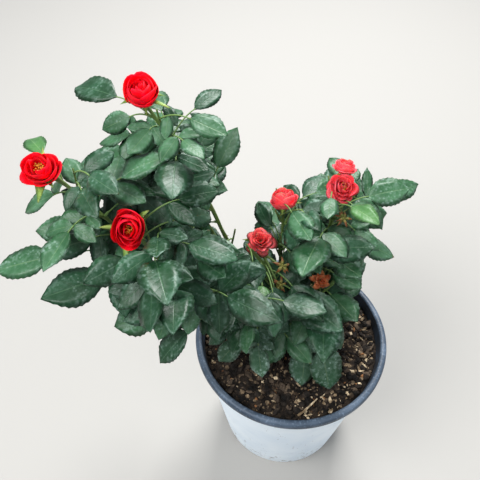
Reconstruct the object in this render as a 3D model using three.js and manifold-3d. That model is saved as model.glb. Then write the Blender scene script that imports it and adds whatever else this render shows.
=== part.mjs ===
// A rose bush in a plastic pot: pot, soil, a short woody stem, canes, and sprays of leaves and blooms.
// Millimetres, +Z up. The origin is the centre of the pot's flat underside.

import * as THREE from 'three';
import { mergeVertices } from 'three/addons/utils/BufferGeometryUtils.js';
import Module from 'manifold-3d';

const wasm = await Module();
wasm.setup();

// Gap between neighbouring pieces that touch on the real plant, and the grid that corners are drawn onto
const GAP = 0.3;
const GRID = 0.001;

// Pot: a tapered wall under a thick rolled lip, on a flat underside
const POT = {
  height: 237, rimRadius: 130, lipWidth: 9, lipDepth: 12, lipRound: 2,
  shoulderRadius: 121.5, baseRadius: 92.4, wall: 2.5, floor: 4, sides: 32,
};

// Soil: its edge lies below the rim, and its top swells a little towards the plant
const SOIL = {
  edgeBelowRim: 17, swell: 6, fall: 3, lumps: 1.6, lumpX: 9, lumpY: 11, level: 0.3, rings: [0.8, 0.52, 0.24],
};

// Woody stem: from the soil to the knuckle that the canes spring from
const STEM = {
  x: -20, y: 12, flare: 15, waist: 10.5, waistAt: 0.3, knuckle: 13, knuckleAt: 0.72, neck: 10.4,
  height: 34, dome: 2, sides: 9,
};

// Canes and twigs, as radii
const CANE = { foot: 3.2, tip: 2.2, sides: 5, steps: 5, seat: 0.7, bow: 0.06 };
const TWIG = { foot: 2.1, tip: 1.4, sides: 4, fork: 0.86 };
const STALK = { foot: 1.3, tip: 1.3, sides: 4, steps: 3 };
const RACHIS = { foot: 1.1, tip: 0.8, sides: 3, bow: 0.13 };

// Compound leaf: leaflets in pairs along a rachis, and one at its end
const LEAF = {
  length: 98, shortest: 0.8, spread: 0.3, terminal: 0.5, terminalLeast: 34, terminalMost: 56,
  turn: 137.5, retry: 40, tries: 9, rise: 4, riseTop: 34, wobble: 12, roll: 22,
  lowest: 0.45, threesAbove: 0.78, sevens: 0.12,
};
const PAIRS = {
  3: { shares: [0.7], scale: 0.84 },
  5: { shares: [0.76, 0.3], scale: 0.76 },
  7: { shares: [0.82, 0.5, 0.18], scale: 0.56 },
};
const LEAFLET = {
  width: 0.7, thickness: 1.1, curl: 0.16, fold: 0.22, sunk: 2.2, splay: 64, droop: 0.16,
  innerScale: 0.9, shortest: 16, least: 0.92, most: 1.06, span: 0.95, waist: 0.42,
};
// Leaflet's outline as fractions of its length and of its width
const OUTLINE = [[0, 0], [0.3, 0.43], [0.62, 0.43], [1, 0], [0.62, -0.43], [0.3, -0.43]];
// Room kept round a leaflet and above the pot and the soil
const ROOM = { slab: 2.6, edge: 1.12, near: 0.62, rim: 4, soil: 5, own: 6 };

// The photograph's viewpoint, and the crown's rough outline from there: leaves keep within it
const VIEW = { x: -69.3, y: -409, z: 927.7, tilt: 50.2, focal: 580 };
const CROWN = [
  [-160, 148], [-148, 161], [-122, 150], [-114, 168], [-80, 172], [-67, 152], [-54, 124], [-24, 154],
  [-21, 132], [-10, 100], [-14, 50], [-33, 37], [-26, 15], [-8, -10], [4, 2], [10, 46], [32, 54], [72, 60],
  [94, 82], [122, 82], [134, 62], [174, 60], [177, 50], [148, 34], [152, -8], [122, -24], [118, -72],
  [102, -92], [94, -146], [56, -144], [40, -120], [-8, -118], [-34, -92], [-44, -110], [-56, -96],
  [-80, -116], [-94, -90], [-116, -90], [-132, -50], [-174, -56], [-196, -38], [-240, -42], [-240, -12],
  [-196, -4], [-208, 14], [-192, 26], [-220, 40], [-222, 80], [-212, 106], [-178, 86], [-142, 114],
];

// Bloom's outer profile as fractions of its radius, from its foot over its edge to its heart
const BLOOM_PROFILE = [
  [0, -0.62], [0.34, -0.6], [0.5, -0.36], [0.92, 0.02], [1, 0.34], [0.8, 0.58], [0.4, 0.5], [0, 0.4],
];
const BLOOM_SIDES = 9;
const BLOOM_HALF = 0.5;

// A free leaf points where the rule turns it
const FREE = null;

// Sprays of leaves: where the cane ends, where the spray's twig ends, its leaves from the lowest up
// (free, or aimed at the tip that the outline needs), and the blooms at its end
const SPRAYS = [
  {
    name: 'tall_left', seed: 11, foot: 32, root: [-92, 40, 412], tip: [-163, 62, 572],
    leaves: [FREE, FREE, [-82, 70, 517], FREE, FREE, [-239, 53, 507], FREE, [-93, 107, 557],
      [-240, 112, 562], [-142, 116, 582]],
    blooms: [{ at: [-166, 65, 586], facing: [0.1, -0.55, 0.83], radius: 18.5 }],
  },
  {
    name: 'far_left', seed: 22, foot: 24, root: [-128, -8, 372], tip: [-250, 0, 537],
    leaves: [FREE, [-259, -65, 437], FREE, [-322, -39, 442], FREE, FREE, [-235, -34, 482], FREE, FREE,
      [-286, -10, 502], [-287, 56, 537]],
    blooms: [{ at: [-259, -4, 547], facing: [-0.6, -0.3, 0.74], radius: 19.5 }],
  },
  {
    name: 'front_left', seed: 33, foot: 14, root: [-90, -36, 352], tip: [-172, -42, 498],
    leaves: [[-164, -84, 322], [-112, -78, 318], [-206, -66, 372], FREE, FREE, [-202, -62, 432], FREE,
      [-109, -30, 437], FREE, FREE, [-98, 14, 467]],
    blooms: [{ at: [-175, -48, 511], facing: [0, -0.62, 0.78], radius: 17 }],
  },
  {
    name: 'mid_left', seed: 121, foot: 17, root: [-100, 32, 362], tip: [-152, 22, 478],
    leaves: [FREE, FREE, FREE, FREE, FREE, FREE, FREE, FREE, FREE],
    blooms: [],
  },
  {
    name: 'inner_left', seed: 52, foot: 8, root: [-44, -30, 316], tip: [-86, -30, 410],
    leaves: [[-94, -66, 280], [-46, -98, 300], [-108, -66, 330], [-12, -56, 345], [-128, -14, 392],
      [-66, 24, 432]],
    blooms: [],
  },
  {
    name: 'centre', seed: 55, foot: 33, root: [-18, 44, 345], tip: [-18, 58, 424],
    leaves: [FREE, FREE, FREE, [32, 108, 427], [-53, 74, 440]],
    blooms: [{ at: [-18, 61, 437], facing: [0.1, 0.1, 1], radius: 16 }],
  },
  {
    name: 'centre_front', seed: 66, foot: 24, root: [-28, -8, 335], tip: [-44, 20, 394],
    leaves: [FREE, [14, -38, 320], [-58, -34, 348], FREE, [34, -4, 352], FREE, [6, 46, 372], [-74, 40, 392]],
    blooms: [{ at: [-45, 25, 406], facing: [-0.1, -0.35, 0.93], radius: 17 }],
  },
  {
    name: 'right', seed: 77, foot: 24, root: [24, 36, 345], tip: [46, 58, 446],
    leaves: [FREE, [73, 3, 352], FREE, [108, 26, 387], FREE, [141, 85, 437], [4, 68, 430], [78, 92, 478]],
    blooms: [
      { at: [47, 58, 460], facing: [0, -0.5, 0.86], radius: 16.5 },
      { at: [52, 84, 468], facing: [0.15, 0.3, 0.94], radius: 13 },
    ],
  },
  {
    name: 'front', seed: 97, foot: 12, root: [14, -8, 300], tip: [29, 2, 345],
    leaves: [[10, -80, 258], [45, -84, 256], [-46, -56, 268], [58, -48, 288], [74, -14, 327], FREE],
    blooms: [{ at: [29, 5, 354], facing: [0.1, -0.3, 0.95], radius: 9.5 }],
  },
  {
    name: 'back_left', seed: 99, foot: 9, root: [-96, 66, 350], tip: [-158, 120, 440],
    leaves: [FREE, FREE, FREE, FREE, FREE, [-176, 182, 468]],
    blooms: [],
  },
  {
    name: 'back_right', seed: 119, foot: 17, root: [34, 72, 318], tip: [74, 116, 366],
    leaves: [FREE, FREE, FREE, [92, 172, 372]],
    blooms: [],
  },
];

// Leaves turn their faces to the light, which falls from the front
const UP = new THREE.Vector3(0, 0, 1);
const LIGHT = new THREE.Vector3(-0.1, -0.38, 0.92).normalize();
const STEEP = 0.98;
const FINISH = {
  pot: { color: 0xdfe6ec, roughness: 0.55, metalness: 0 },
  soil: { color: 0x2e241c, roughness: 0.95, metalness: 0 },
  wood: { color: 0x6d6a45, roughness: 0.75, metalness: 0 },
  spray: { color: 0x3a6a50, roughness: 0.55, metalness: 0 },
};

const degrees = (angle) => THREE.MathUtils.degToRad(angle);
const mix = THREE.MathUtils.lerp;
const point = (place) => new THREE.Vector3(...place);
const along = (start, direction, length) => start.clone().addScaledVector(direction, length);
const rising = (numbers) => numbers.sort((a, b) => a - b);

// Seeded draws between 0 and 1, so that every run grows the same bush
function seeded(seed) {
  let state = seed >>> 0;
  return () => {
    state = (Math.imul(state, 1664525) + 1013904223) >>> 0;
    return state / 4294967296;
  };
}

const between = (draw, low, high) => mix(low, high, draw());

// Closed solid of a geometry, with its corners drawn onto the grid and merged
function solid(geometry) {
  const bare = geometry.clone();
  bare.deleteAttribute('normal');
  bare.deleteAttribute('uv');
  const places = bare.attributes.position.array;
  places.forEach((value, i) => {
    places[i] = Math.round(value / GRID) * GRID;
  });
  const merged = mergeVertices(bare, GRID / 2);
  const triangles = [];
  for (let i = 0; i < merged.index.count; i += 3) {
    const corners = merged.index.array.slice(i, i + 3);
    if (new Set(corners).size === 3) triangles.push(...corners);
  }
  return new wasm.Manifold(new wasm.Mesh({
    numProp: 3,
    vertProperties: new Float32Array(merged.attributes.position.array),
    triVerts: new Uint32Array(triangles),
  }));
}

function largest(body) {
  return body.decompose().reduce((best, part) => (part.volume() > best.volume() ? part : best));
}

function geometryOf(body) {
  const mesh = body.getMesh();
  const geometry = new THREE.BufferGeometry();
  geometry.setAttribute('position', new THREE.BufferAttribute(new Float32Array(mesh.vertProperties), 3));
  geometry.setIndex(new THREE.BufferAttribute(new Uint32Array(mesh.triVerts), 1));
  return geometry;
}

// A solid's largest body, before and after its corners are welded: scraps and sealed pockets are dropped
const wholeGeometry = (body) => geometryOf(largest(solid(geometryOf(largest(body)))));

function turned(profile, sides) {
  const corners = profile.map(([r, z]) => new THREE.Vector2(r, z));
  return new THREE.LatheGeometry(corners, sides).rotateX(Math.PI / 2);
}

// Right-handed axes across a direction: the second looks as nearly towards the sky, or the light, as it can
function axesAcross(direction, roll = 0, sky = UP) {
  const level = Math.abs(direction.dot(sky)) > STEEP ? new THREE.Vector3(0, 1, 0) : sky;
  const normal = along(level, direction, -level.dot(direction)).normalize();
  normal.applyAxisAngle(direction, roll);
  return { side: new THREE.Vector3().crossVectors(normal, direction), normal };
}

const evenly = (steps) => Array.from({ length: steps + 1 }, (_, i) => i / steps);

// Tapering limb: a cylinder whose rings are carried to the given shares of a curve
function limb(curve, { foot, tip, sides }, shares) {
  const steps = shares.length - 1;
  const geometry = new THREE.CylinderGeometry(1, 1, 1, sides, steps);
  const position = geometry.attributes.position;
  for (let i = 0; i < position.count; i += 1) {
    const t = shares[Math.round((position.getY(i) + 0.5) * steps)];
    const { side, normal } = axesAcross(curve.getTangent(t));
    const radius = mix(foot, tip, t);
    const ring = curve.getPoint(t)
      .addScaledVector(side, -radius * position.getX(i))
      .addScaledVector(normal, radius * position.getZ(i));
    position.setXYZ(i, ring.x, ring.y, ring.z);
  }
  return geometry;
}

// Curve from one place to another that sets off in a given direction
function setOff(start, direction, end) {
  const reach = 0.5 * start.distanceTo(end);
  return new THREE.QuadraticBezierCurve3(start, along(start, direction, reach), end);
}

// Leaflet: where it starts, the way it points, the way its face looks, and its size
function makeBlade(base, direction, roll, length) {
  const { side, normal } = axesAcross(direction, roll, LIGHT);
  const width = length * LEAFLET.width;
  const place = ([x, y]) => {
    const lift = LEAFLET.fold * Math.abs(y) * width - LEAFLET.curl * length * x * x;
    return along(along(along(base, direction, x * length), side, y * width), normal, lift);
  };
  const outline = OUTLINE.map(place);
  const heart = place([LEAFLET.waist, 0]);
  return { base, direction, side, normal, length, width, outline, heart };
}

function bladeSolid(blade) {
  const rise = blade.normal.clone().multiplyScalar(LEAFLET.thickness / 2);
  const corners = [...blade.outline, blade.heart.clone().add(rise), blade.heart.clone().sub(rise)];
  const top = OUTLINE.length;
  const faces = [];
  for (let i = 0; i < OUTLINE.length; i += 1) {
    const next = (i + 1) % OUTLINE.length;
    faces.push(next, i, top, i, next, top + 1);
  }
  const geometry = new THREE.BufferGeometry().setFromPoints(corners);
  geometry.setIndex(faces);
  return solid(geometry);
}

// Whether a stretch from one place to another passes through a leaflet's room
function crosses(from, to, blade, margin) {
  const before = from.clone().sub(blade.heart);
  const after = to.clone().sub(blade.heart);
  const start = before.dot(blade.normal);
  const end = after.dot(blade.normal);
  const slab = ROOM.slab + margin;
  if (start * end > 0 && Math.min(Math.abs(start), Math.abs(end)) > slab) return false;
  const share = start * end < 0 ? start / (start - end) : Number(Math.abs(end) < Math.abs(start));
  const meeting = before.lerp(after, share);
  const u = meeting.dot(blade.direction) / (0.5 * blade.length * ROOM.edge + margin);
  const v = meeting.dot(blade.side) / (0.5 * blade.width * ROOM.edge + margin);
  return u * u + v * v < 1;
}

function bladesTouch(a, b) {
  if (a.heart.distanceTo(b.heart) > ROOM.near * (a.length + b.length)) return false;
  const runs = (blade) => [...blade.outline.map((from, i, all) => [from, all[(i + 1) % all.length]]),
    [blade.outline[0], blade.outline[3]]];
  return runs(a).some(([from, to]) => crosses(from, to, b, 0))
    || runs(b).some(([from, to]) => crosses(from, to, a, 0));
}

// Whether a leaflet stays over the soil, over the rim or outside the pot
function clearOfPot(blade) {
  return blade.outline.every(({ x, y, z }) => {
    const radius = Math.hypot(x, y);
    if (radius > POT.rimRadius + ROOM.rim) return true;
    const overSoil = radius < POT.rimRadius - POT.lipWidth - ROOM.rim;
    return z > (overSoil ? POT.height - SOIL.edgeBelowRim + SOIL.swell + ROOM.soil : POT.height + ROOM.rim);
  });
}

// A place as the photograph's viewpoint sees it, off the middle of the view
function seen({ x, y, z }) {
  const tilt = degrees(VIEW.tilt);
  const [away, above] = [y - VIEW.y, z - VIEW.z];
  const depth = away * Math.cos(tilt) - above * Math.sin(tilt);
  const rise = away * Math.sin(tilt) + above * Math.cos(tilt);
  return [(x - VIEW.x) * (VIEW.focal / depth), rise * (VIEW.focal / depth)];
}

// Whether the crown's outline holds a place: it does if a line to the left crosses it an odd number of times
function inCrown(place) {
  const [u, v] = seen(place);
  return CROWN.filter(([u0, v0], i) => {
    const [u1, v1] = CROWN[(i + 1) % CROWN.length];
    return (v0 > v) !== (v1 > v) && u > u0 + ((v - v0) / (v1 - v0)) * (u1 - u0);
  }).length % 2 === 1;
}

// Compound leaf from a place on a twig to its tip: a rachis, and its leaflets
function makeLeaf(start, tip, count, roll, draw) {
  const reach = start.distanceTo(tip);
  const terminal = THREE.MathUtils.clamp(LEAF.terminal * reach, LEAF.terminalLeast, LEAF.terminalMost);
  const chord = tip.clone().sub(start).normalize();
  const end = along(along(tip, chord, -terminal * LEAFLET.span), UP, LEAFLET.curl * terminal * LEAFLET.span);
  const bend = start.clone().lerp(end, 0.5).addScaledVector(UP, RACHIS.bow * reach);
  const rachis = new THREE.QuadraticBezierCurve3(start, bend, end);
  const last = rachis.getTangent(1).lerp(chord, 0.5).normalize();
  const blades = [makeBlade(along(end, last, -LEAFLET.sunk), last, roll, terminal)];
  let length = terminal * PAIRS[count].scale;
  for (const share of PAIRS[count].shares) {
    const node = rachis.getPoint(share);
    const heading = rachis.getTangent(share);
    const { side } = axesAcross(heading, roll, LIGHT);
    for (const hand of [1, -1]) {
      const splay = degrees(LEAFLET.splay + between(draw, -LEAF.wobble, LEAF.wobble));
      const direction = heading.clone().multiplyScalar(Math.cos(splay))
        .addScaledVector(side, hand * Math.sin(splay))
        .addScaledVector(UP, -LEAFLET.droop)
        .normalize();
      const size = Math.max(LEAFLET.shortest, length * between(draw, LEAFLET.least, LEAFLET.most));
      const lean = degrees(between(draw, -LEAF.wobble, LEAF.wobble));
      blades.push(makeBlade(node, direction, lean, size));
    }
    length *= LEAFLET.innerScale;
  }
  return { rachis, blades, shares: rising([...PAIRS[count].shares, 0, 1]) };
}

// What already grows: leaflets, and the stretches of every limb with their radii
const grown = { blades: [], stretches: [] };

function addStretches(curve, radius, shares) {
  const places = shares.map((share) => curve.getPoint(share));
  for (let i = 1; i < places.length; i += 1) {
    grown.stretches.push({ from: places[i - 1], to: places[i], radius });
  }
}

// A bloom is kept clear as a thick, short stretch
function addBloom({ at, facing, radius }) {
  const heart = point(at);
  const half = point(facing).setLength(BLOOM_HALF * radius);
  grown.stretches.push({ from: heart.clone().sub(half), to: heart.add(half), radius });
}

// Which of a leaf's leaflets have room; none has where the rachis itself is in the way.
// The leaflet that is aimed at a tip of the outline needn't keep within it.
function roomy(leaf, ownStart, aimed) {
  const places = leaf.shares.map((share) => leaf.rachis.getPoint(share));
  const blocked = places.slice(1).some((to, i) => grown.blades.some((other) => (
    to.distanceTo(other.heart) < other.length && crosses(places[i], to, other, RACHIS.foot))));
  if (blocked) return [];
  return leaf.blades.filter((blade, i) => clearOfPot(blade)
    && ((aimed && i === 0) || blade.outline.every(inCrown))
    && !grown.blades.some((other) => bladesTouch(blade, other))
    && !grown.stretches.some(({ from, to, radius }) => to.distanceTo(ownStart) > ROOM.own
      && crosses(from, to, blade, radius)));
}

const leafHeight = (spray, i) => (i + LEAF.lowest) / spray.leaves.length;

// The rule: leaves turn round the twig, rise more towards its tip, and look for room
function growLeaves(spray, twig, draw) {
  const leaves = [];
  let turn = between(draw, 0, 360);
  spray.leaves.forEach((aim, i) => {
    const height = leafHeight(spray, i);
    const start = twig.getPoint(height);
    const count = height > LEAF.threesAbove ? 3 : (draw() < LEAF.sevens ? 7 : 5);
    const reach = LEAF.length * between(draw, LEAF.shortest, LEAF.shortest + LEAF.spread);
    let best = null;
    for (let go = 0; go < LEAF.tries; go += 1) {
      const roll = degrees(between(draw, -LEAF.roll, LEAF.roll));
      const heading = degrees(turn + go * LEAF.retry);
      const rise = degrees(mix(LEAF.rise, LEAF.riseTop, height) + between(draw, -LEAF.wobble, LEAF.wobble));
      const way = new THREE.Vector3(Math.cos(heading) * Math.cos(rise), Math.sin(heading) * Math.cos(rise),
        Math.sin(rise));
      const leaf = makeLeaf(start, aim ? point(aim) : along(start, way, reach), count, roll, draw);
      const kept = roomy(leaf, start, aim !== FREE);
      const whole = kept.length === leaf.blades.length;
      if (kept.includes(leaf.blades[0]) && (!best || kept.length > best.blades.length)) {
        best = { ...leaf, blades: kept };
      }
      if (whole) break;
    }
    turn += LEAF.turn;
    if (!best) return;
    leaves.push(best);
    grown.blades.push(...best.blades);
    addStretches(best.rachis, RACHIS.foot, best.shares);
  });
  return leaves;
}

// Bloom: a faceted cup that looks the way it faces, with its foot on the twig
function bloomSolid({ at, facing, radius }) {
  const profile = BLOOM_PROFILE.map(([r, z]) => [r * radius, z * radius]);
  const turn = new THREE.Quaternion().setFromUnitVectors(UP, point(facing).normalize());
  return solid(turned(profile, BLOOM_SIDES).applyQuaternion(turn).translate(...at));
}

function bloomFoot({ at, facing, radius }) {
  return along(point(at), point(facing).normalize(), -BLOOM_HALF * radius);
}

function twigShares(spray) {
  const heights = spray.leaves.map((_, i) => leafHeight(spray, i));
  return rising([0, ...heights, TWIG.fork, 1]);
}

// A spray's solid: its twig, a stalk to each bloom, and its leaves, all fused
function spraySolid(spray, twig, leaves) {
  const parts = [solid(limb(twig, TWIG, twigShares(spray)))];
  for (const bloom of spray.blooms) {
    const stalk = setOff(twig.getPoint(TWIG.fork), twig.getTangent(TWIG.fork), bloomFoot(bloom));
    parts.push(solid(limb(stalk, STALK, evenly(STALK.steps))), bloomSolid(bloom));
  }
  for (const { rachis, blades, shares } of leaves) {
    parts.push(solid(limb(rachis, RACHIS, shares)), ...blades.map(bladeSolid));
  }
  return parts.reduce((whole, part) => whole.add(part));
}

const soilTop = POT.height - SOIL.edgeBelowRim + SOIL.swell;

// Cane: from the stem's side to the root of its spray, in a rising arc
function caneCurve(spray) {
  const root = point(spray.root);
  const out = new THREE.Vector3(root.x - STEM.x, root.y - STEM.y, 0).normalize();
  const foot = new THREE.Vector3(STEM.x, STEM.y, soilTop + spray.foot);
  const start = along(foot, out, STEM.waist * CANE.seat);
  const bend = start.clone().lerp(root, 0.5).addScaledVector(out, CANE.bow * start.distanceTo(root));
  return new THREE.QuadraticBezierCurve3(start, bend, root);
}

function twigCurve(spray, cane) {
  const heading = cane.getTangent(1);
  return setOff(along(point(spray.root), heading, GAP), heading, point(spray.tip));
}

function innerRadius(z) {
  const share = z / (POT.height - POT.lipDepth);
  return mix(POT.baseRadius, POT.shoulderRadius, share) - POT.wall;
}

function potGeometry() {
  const { height, rimRadius, lipWidth, lipDepth, lipRound } = POT;
  const under = height - lipDepth;
  return turned([
    [0, 0], [POT.baseRadius, 0], [POT.shoulderRadius, under], [rimRadius - lipRound, under],
    [rimRadius, under + lipRound], [rimRadius, height - lipRound], [rimRadius - lipRound, height],
    [rimRadius - lipWidth, height], [innerRadius(under), under], [innerRadius(POT.floor), POT.floor],
    [0, POT.floor],
  ], POT.sides);
}

// The soil's lumps are level under the stem, where its foot stands
function soilGeometry() {
  const bottom = POT.floor + GAP;
  const edge = POT.height - SOIL.edgeBelowRim;
  const edgeRadius = innerRadius(edge) - GAP;
  const rings = SOIL.rings.map((share) => [edgeRadius * share, mix(soilTop, edge, share ** SOIL.fall)]);
  const geometry = turned([[0, bottom], [innerRadius(bottom) - GAP, bottom], [edgeRadius, edge], ...rings,
    [0, soilTop]], POT.sides);
  const position = geometry.attributes.position;
  for (let i = 0; i < position.count; i += 1) {
    const [x, y, z] = [position.getX(i), position.getY(i), position.getZ(i)];
    const radius = Math.hypot(x, y);
    if (z < edge + GRID || radius < edgeRadius * SOIL.level) continue;
    position.setZ(i, z + SOIL.lumps * Math.sin(x / SOIL.lumpX) * Math.cos(y / SOIL.lumpY));
  }
  return geometry;
}

function stemProfile(extra) {
  const { height } = STEM;
  return [[0, -extra], [STEM.flare + extra, -extra], [STEM.waist + extra, STEM.waistAt * height],
    [STEM.knuckle + extra, STEM.knuckleAt * height], [STEM.neck + extra, height + extra],
    [0, height + STEM.dome + extra]];
}

function stemGeometry(extra = 0) {
  return turned(stemProfile(extra), STEM.sides).translate(STEM.x, STEM.y, soilTop + GAP);
}

const group = new THREE.Group();

function place(name, geometry, finish) {
  const mesh = new THREE.Mesh(geometry, new THREE.MeshStandardMaterial(finish));
  mesh.name = name;
  group.add(mesh);
}

place('pot', potGeometry(), FINISH.pot);
place('soil', soilGeometry(), FINISH.soil);
place('stem', stemGeometry(), FINISH.wood);

const roomOfStem = solid(stemGeometry(GAP));
const canes = SPRAYS.map(caneCurve);
const twigs = SPRAYS.map((spray, i) => twigCurve(spray, canes[i]));
SPRAYS.forEach((spray) => spray.blooms.forEach(addBloom));
canes.forEach((cane) => addStretches(cane, CANE.foot, evenly(CANE.steps)));
twigs.forEach((twig, i) => addStretches(twig, TWIG.foot, twigShares(SPRAYS[i])));

SPRAYS.forEach((spray, i) => {
  const cane = solid(limb(canes[i], CANE, evenly(CANE.steps))).subtract(roomOfStem);
  place(`cane_${spray.name}`, wholeGeometry(cane), FINISH.wood);
});

SPRAYS.forEach((spray, i) => {
  const leaves = growLeaves(spray, twigs[i], seeded(spray.seed));
  place(`spray_${spray.name}`, wholeGeometry(spraySolid(spray, twigs[i], leaves)), FINISH.spray);
});

export default group;
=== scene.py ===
"""Looks of a potted rose bush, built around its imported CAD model.

The pot, soil and stem are modelled as by hand. The leaves, twigs and canes are grown again by the
source's own rule, with finer shoots within the same reach. Lengths are in millimetres until a mesh
is made, and meshes are in metres in the CAD frame.
"""

import logging
import math
from dataclasses import dataclass, field
from enum import Enum
from typing import Any, Iterable, NamedTuple, Optional, Sequence

import bpy
import numpy as np
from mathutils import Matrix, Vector
from mathutils.bvhtree import BVHTree


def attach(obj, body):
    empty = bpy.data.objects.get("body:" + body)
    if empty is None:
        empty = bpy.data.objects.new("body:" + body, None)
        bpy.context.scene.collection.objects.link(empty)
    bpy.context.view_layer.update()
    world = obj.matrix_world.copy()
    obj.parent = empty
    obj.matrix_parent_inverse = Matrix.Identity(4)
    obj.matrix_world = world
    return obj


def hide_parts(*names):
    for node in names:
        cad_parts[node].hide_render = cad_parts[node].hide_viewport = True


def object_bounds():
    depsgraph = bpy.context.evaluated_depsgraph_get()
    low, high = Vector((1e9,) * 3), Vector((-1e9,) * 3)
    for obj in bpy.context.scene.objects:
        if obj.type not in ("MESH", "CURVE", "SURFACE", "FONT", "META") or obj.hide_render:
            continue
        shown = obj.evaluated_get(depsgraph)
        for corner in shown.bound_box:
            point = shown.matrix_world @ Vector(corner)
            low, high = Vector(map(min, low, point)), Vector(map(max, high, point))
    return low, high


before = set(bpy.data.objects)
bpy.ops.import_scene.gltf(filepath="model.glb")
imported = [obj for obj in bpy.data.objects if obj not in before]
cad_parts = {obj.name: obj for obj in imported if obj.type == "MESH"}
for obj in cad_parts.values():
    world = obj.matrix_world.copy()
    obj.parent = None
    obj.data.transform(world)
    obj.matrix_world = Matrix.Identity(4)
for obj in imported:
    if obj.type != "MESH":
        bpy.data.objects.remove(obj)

CAD_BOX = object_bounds()
MM = 0.001
BODY = "root"
GAP = 0.3

log = logging.getLogger("rose")


# ---------------------------------------------------------------- numbers and places


class Vec(NamedTuple):
    """A place or a direction, in millimetres."""

    x: float
    y: float
    z: float

    def __add__(self, other: "Vec") -> "Vec":
        """The sum of two places."""
        return Vec(self.x + other.x, self.y + other.y, self.z + other.z)

    def __sub__(self, other: "Vec") -> "Vec":
        """The step from the other place to this one."""
        return Vec(self.x - other.x, self.y - other.y, self.z - other.z)

    def __mul__(self, factor: float) -> "Vec":
        """The place scaled about the origin."""
        return Vec(self.x * factor, self.y * factor, self.z * factor)

    def dot(self, other: "Vec") -> float:
        """The scalar product."""
        return self.x * other.x + self.y * other.y + self.z * other.z

    def cross(self, other: "Vec") -> "Vec":
        """The vector product."""
        return Vec(
            self.y * other.z - self.z * other.y,
            self.z * other.x - self.x * other.z,
            self.x * other.y - self.y * other.x,
        )

    def length(self) -> float:
        """The length."""
        return math.sqrt(self.dot(self))

    def unit(self) -> "Vec":
        """The direction, with a length of 1."""
        return self * (1 / (self.length() or 1))

    def toward(self, other: "Vec", share: float) -> "Vec":
        """The place at a share of the way to another one."""
        return self + (other - self) * share

    def turned(self, axis: "Vec", angle: float) -> "Vec":
        """The direction turned about a unit axis by an angle in radians."""
        cos, sin = math.cos(angle), math.sin(angle)
        return self * cos + axis.cross(self) * sin + axis * (axis.dot(self) * (1 - cos))


UP = Vec(0, 0, 1)
# Leaves turn their faces to the light, which falls from the front
LIGHT = Vec(-0.1, -0.38, 0.92).unit()
STEEP = 0.98
TANGENT_STEP = 0.0001


def mix(low: float, high: float, share: float) -> float:
    """The number at a share of the way from low to high."""
    return (1 - share) * low + share * high


def distance(a: Vec, b: Vec) -> float:
    """The distance between two places."""
    return math.dist(a, b)


class Draw:
    """Seeded draws between 0 and 1, the same as in the source."""

    FACTOR, STEP, RANGE = 1664525, 1013904223, 4294967296

    def __init__(self, seed: int) -> None:
        """Starts the draws at a seed."""
        self.state = seed

    def __call__(self) -> float:
        """The next draw."""
        self.state = (self.state * self.FACTOR + self.STEP) % self.RANGE
        return self.state / self.RANGE

    def between(self, low: float, high: float) -> float:
        """The next draw, between two numbers."""
        return mix(low, high, self())


@dataclass(frozen=True)
class Arc:
    """A quadratic arc through space, from start to end, that leans towards bend."""

    start: Vec
    bend: Vec
    end: Vec

    def at(self, share: float) -> Vec:
        """The place at a share of the arc."""
        rest = 1 - share
        bend, end = self.bend * (2 * rest * share), self.end * (share * share)
        return self.start * (rest * rest) + bend + end

    def heading(self, share: float) -> Vec:
        """The direction in which the arc runs at a share of it."""
        before = max(0.0, share - TANGENT_STEP)
        after = min(1.0, share + TANGENT_STEP)
        return (self.at(after) - self.at(before)).unit()

    def places(self, shares: Iterable[float]) -> list[Vec]:
        """The places at several shares."""
        return [self.at(share) for share in shares]


def evenly(steps: int) -> list[float]:
    """Shares from 0 to 1 in even steps."""
    return [i / steps for i in range(steps + 1)]


def set_off(start: Vec, direction: Vec, end: Vec) -> Arc:
    """An arc from one place to another that sets off in a given direction."""
    return Arc(start, start + direction * (0.5 * distance(start, end)), end)


def axes_across(direction: Vec, roll: float = 0.0, sky: Vec = UP) -> tuple[Vec, Vec]:
    """Right-handed axes across a direction.

    Args:
        direction: the unit direction.
        roll: the turn of the axes about it, in radians.
        sky: what the second axis looks towards: straight up, or the light.

    Returns:
        The sideways axis, and the one that looks as nearly towards the sky as it can.
    """
    level = Vec(0, 1, 0) if abs(direction.dot(sky)) > STEEP else sky
    normal = (level - direction * level.dot(direction)).unit().turned(direction, roll)
    return normal.cross(direction), normal


# The photograph's viewpoint: where it is, how far it looks down, its focal length in pixels. Then
# the bush's rough outline from there, in pixels right and up of the middle: leaves keep within it
VIEW_FROM, VIEW_TILT, VIEW_FOCAL = Vec(-69.3, -409, 927.7), math.radians(50.2), 580
BUSH_OUTLINE = (
    (-160, 148), (-148, 161), (-122, 150), (-114, 168), (-80, 172), (-67, 152), (-54, 124),
    (-24, 154), (-21, 132), (-10, 100), (-14, 50), (-33, 37), (-26, 15), (-8, -10), (4, 2),
    (10, 46), (32, 54), (72, 60), (94, 82), (122, 82), (134, 62), (174, 60), (177, 50), (148, 34),
    (152, -8), (122, -24), (118, -72), (102, -92), (94, -146), (56, -144), (40, -120), (-8, -118),
    (-34, -92), (-44, -110), (-56, -96), (-80, -116), (-94, -90), (-116, -90), (-132, -50),
    (-174, -56), (-196, -38), (-240, -42), (-240, -12), (-196, -4), (-208, 14), (-192, 26),
    (-220, 40), (-222, 80), (-212, 106), (-178, 86), (-142, 114),
)


def seen(place: Vec) -> tuple[float, float, float]:
    """A place from the photograph's viewpoint: right and up of the middle, and how far away."""
    away, above = place.y - VIEW_FROM.y, place.z - VIEW_FROM.z
    depth = away * math.cos(VIEW_TILT) - above * math.sin(VIEW_TILT)
    rise = away * math.sin(VIEW_TILT) + above * math.cos(VIEW_TILT)
    return (place.x - VIEW_FROM.x) * (VIEW_FOCAL / depth), rise * (VIEW_FOCAL / depth), depth


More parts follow.
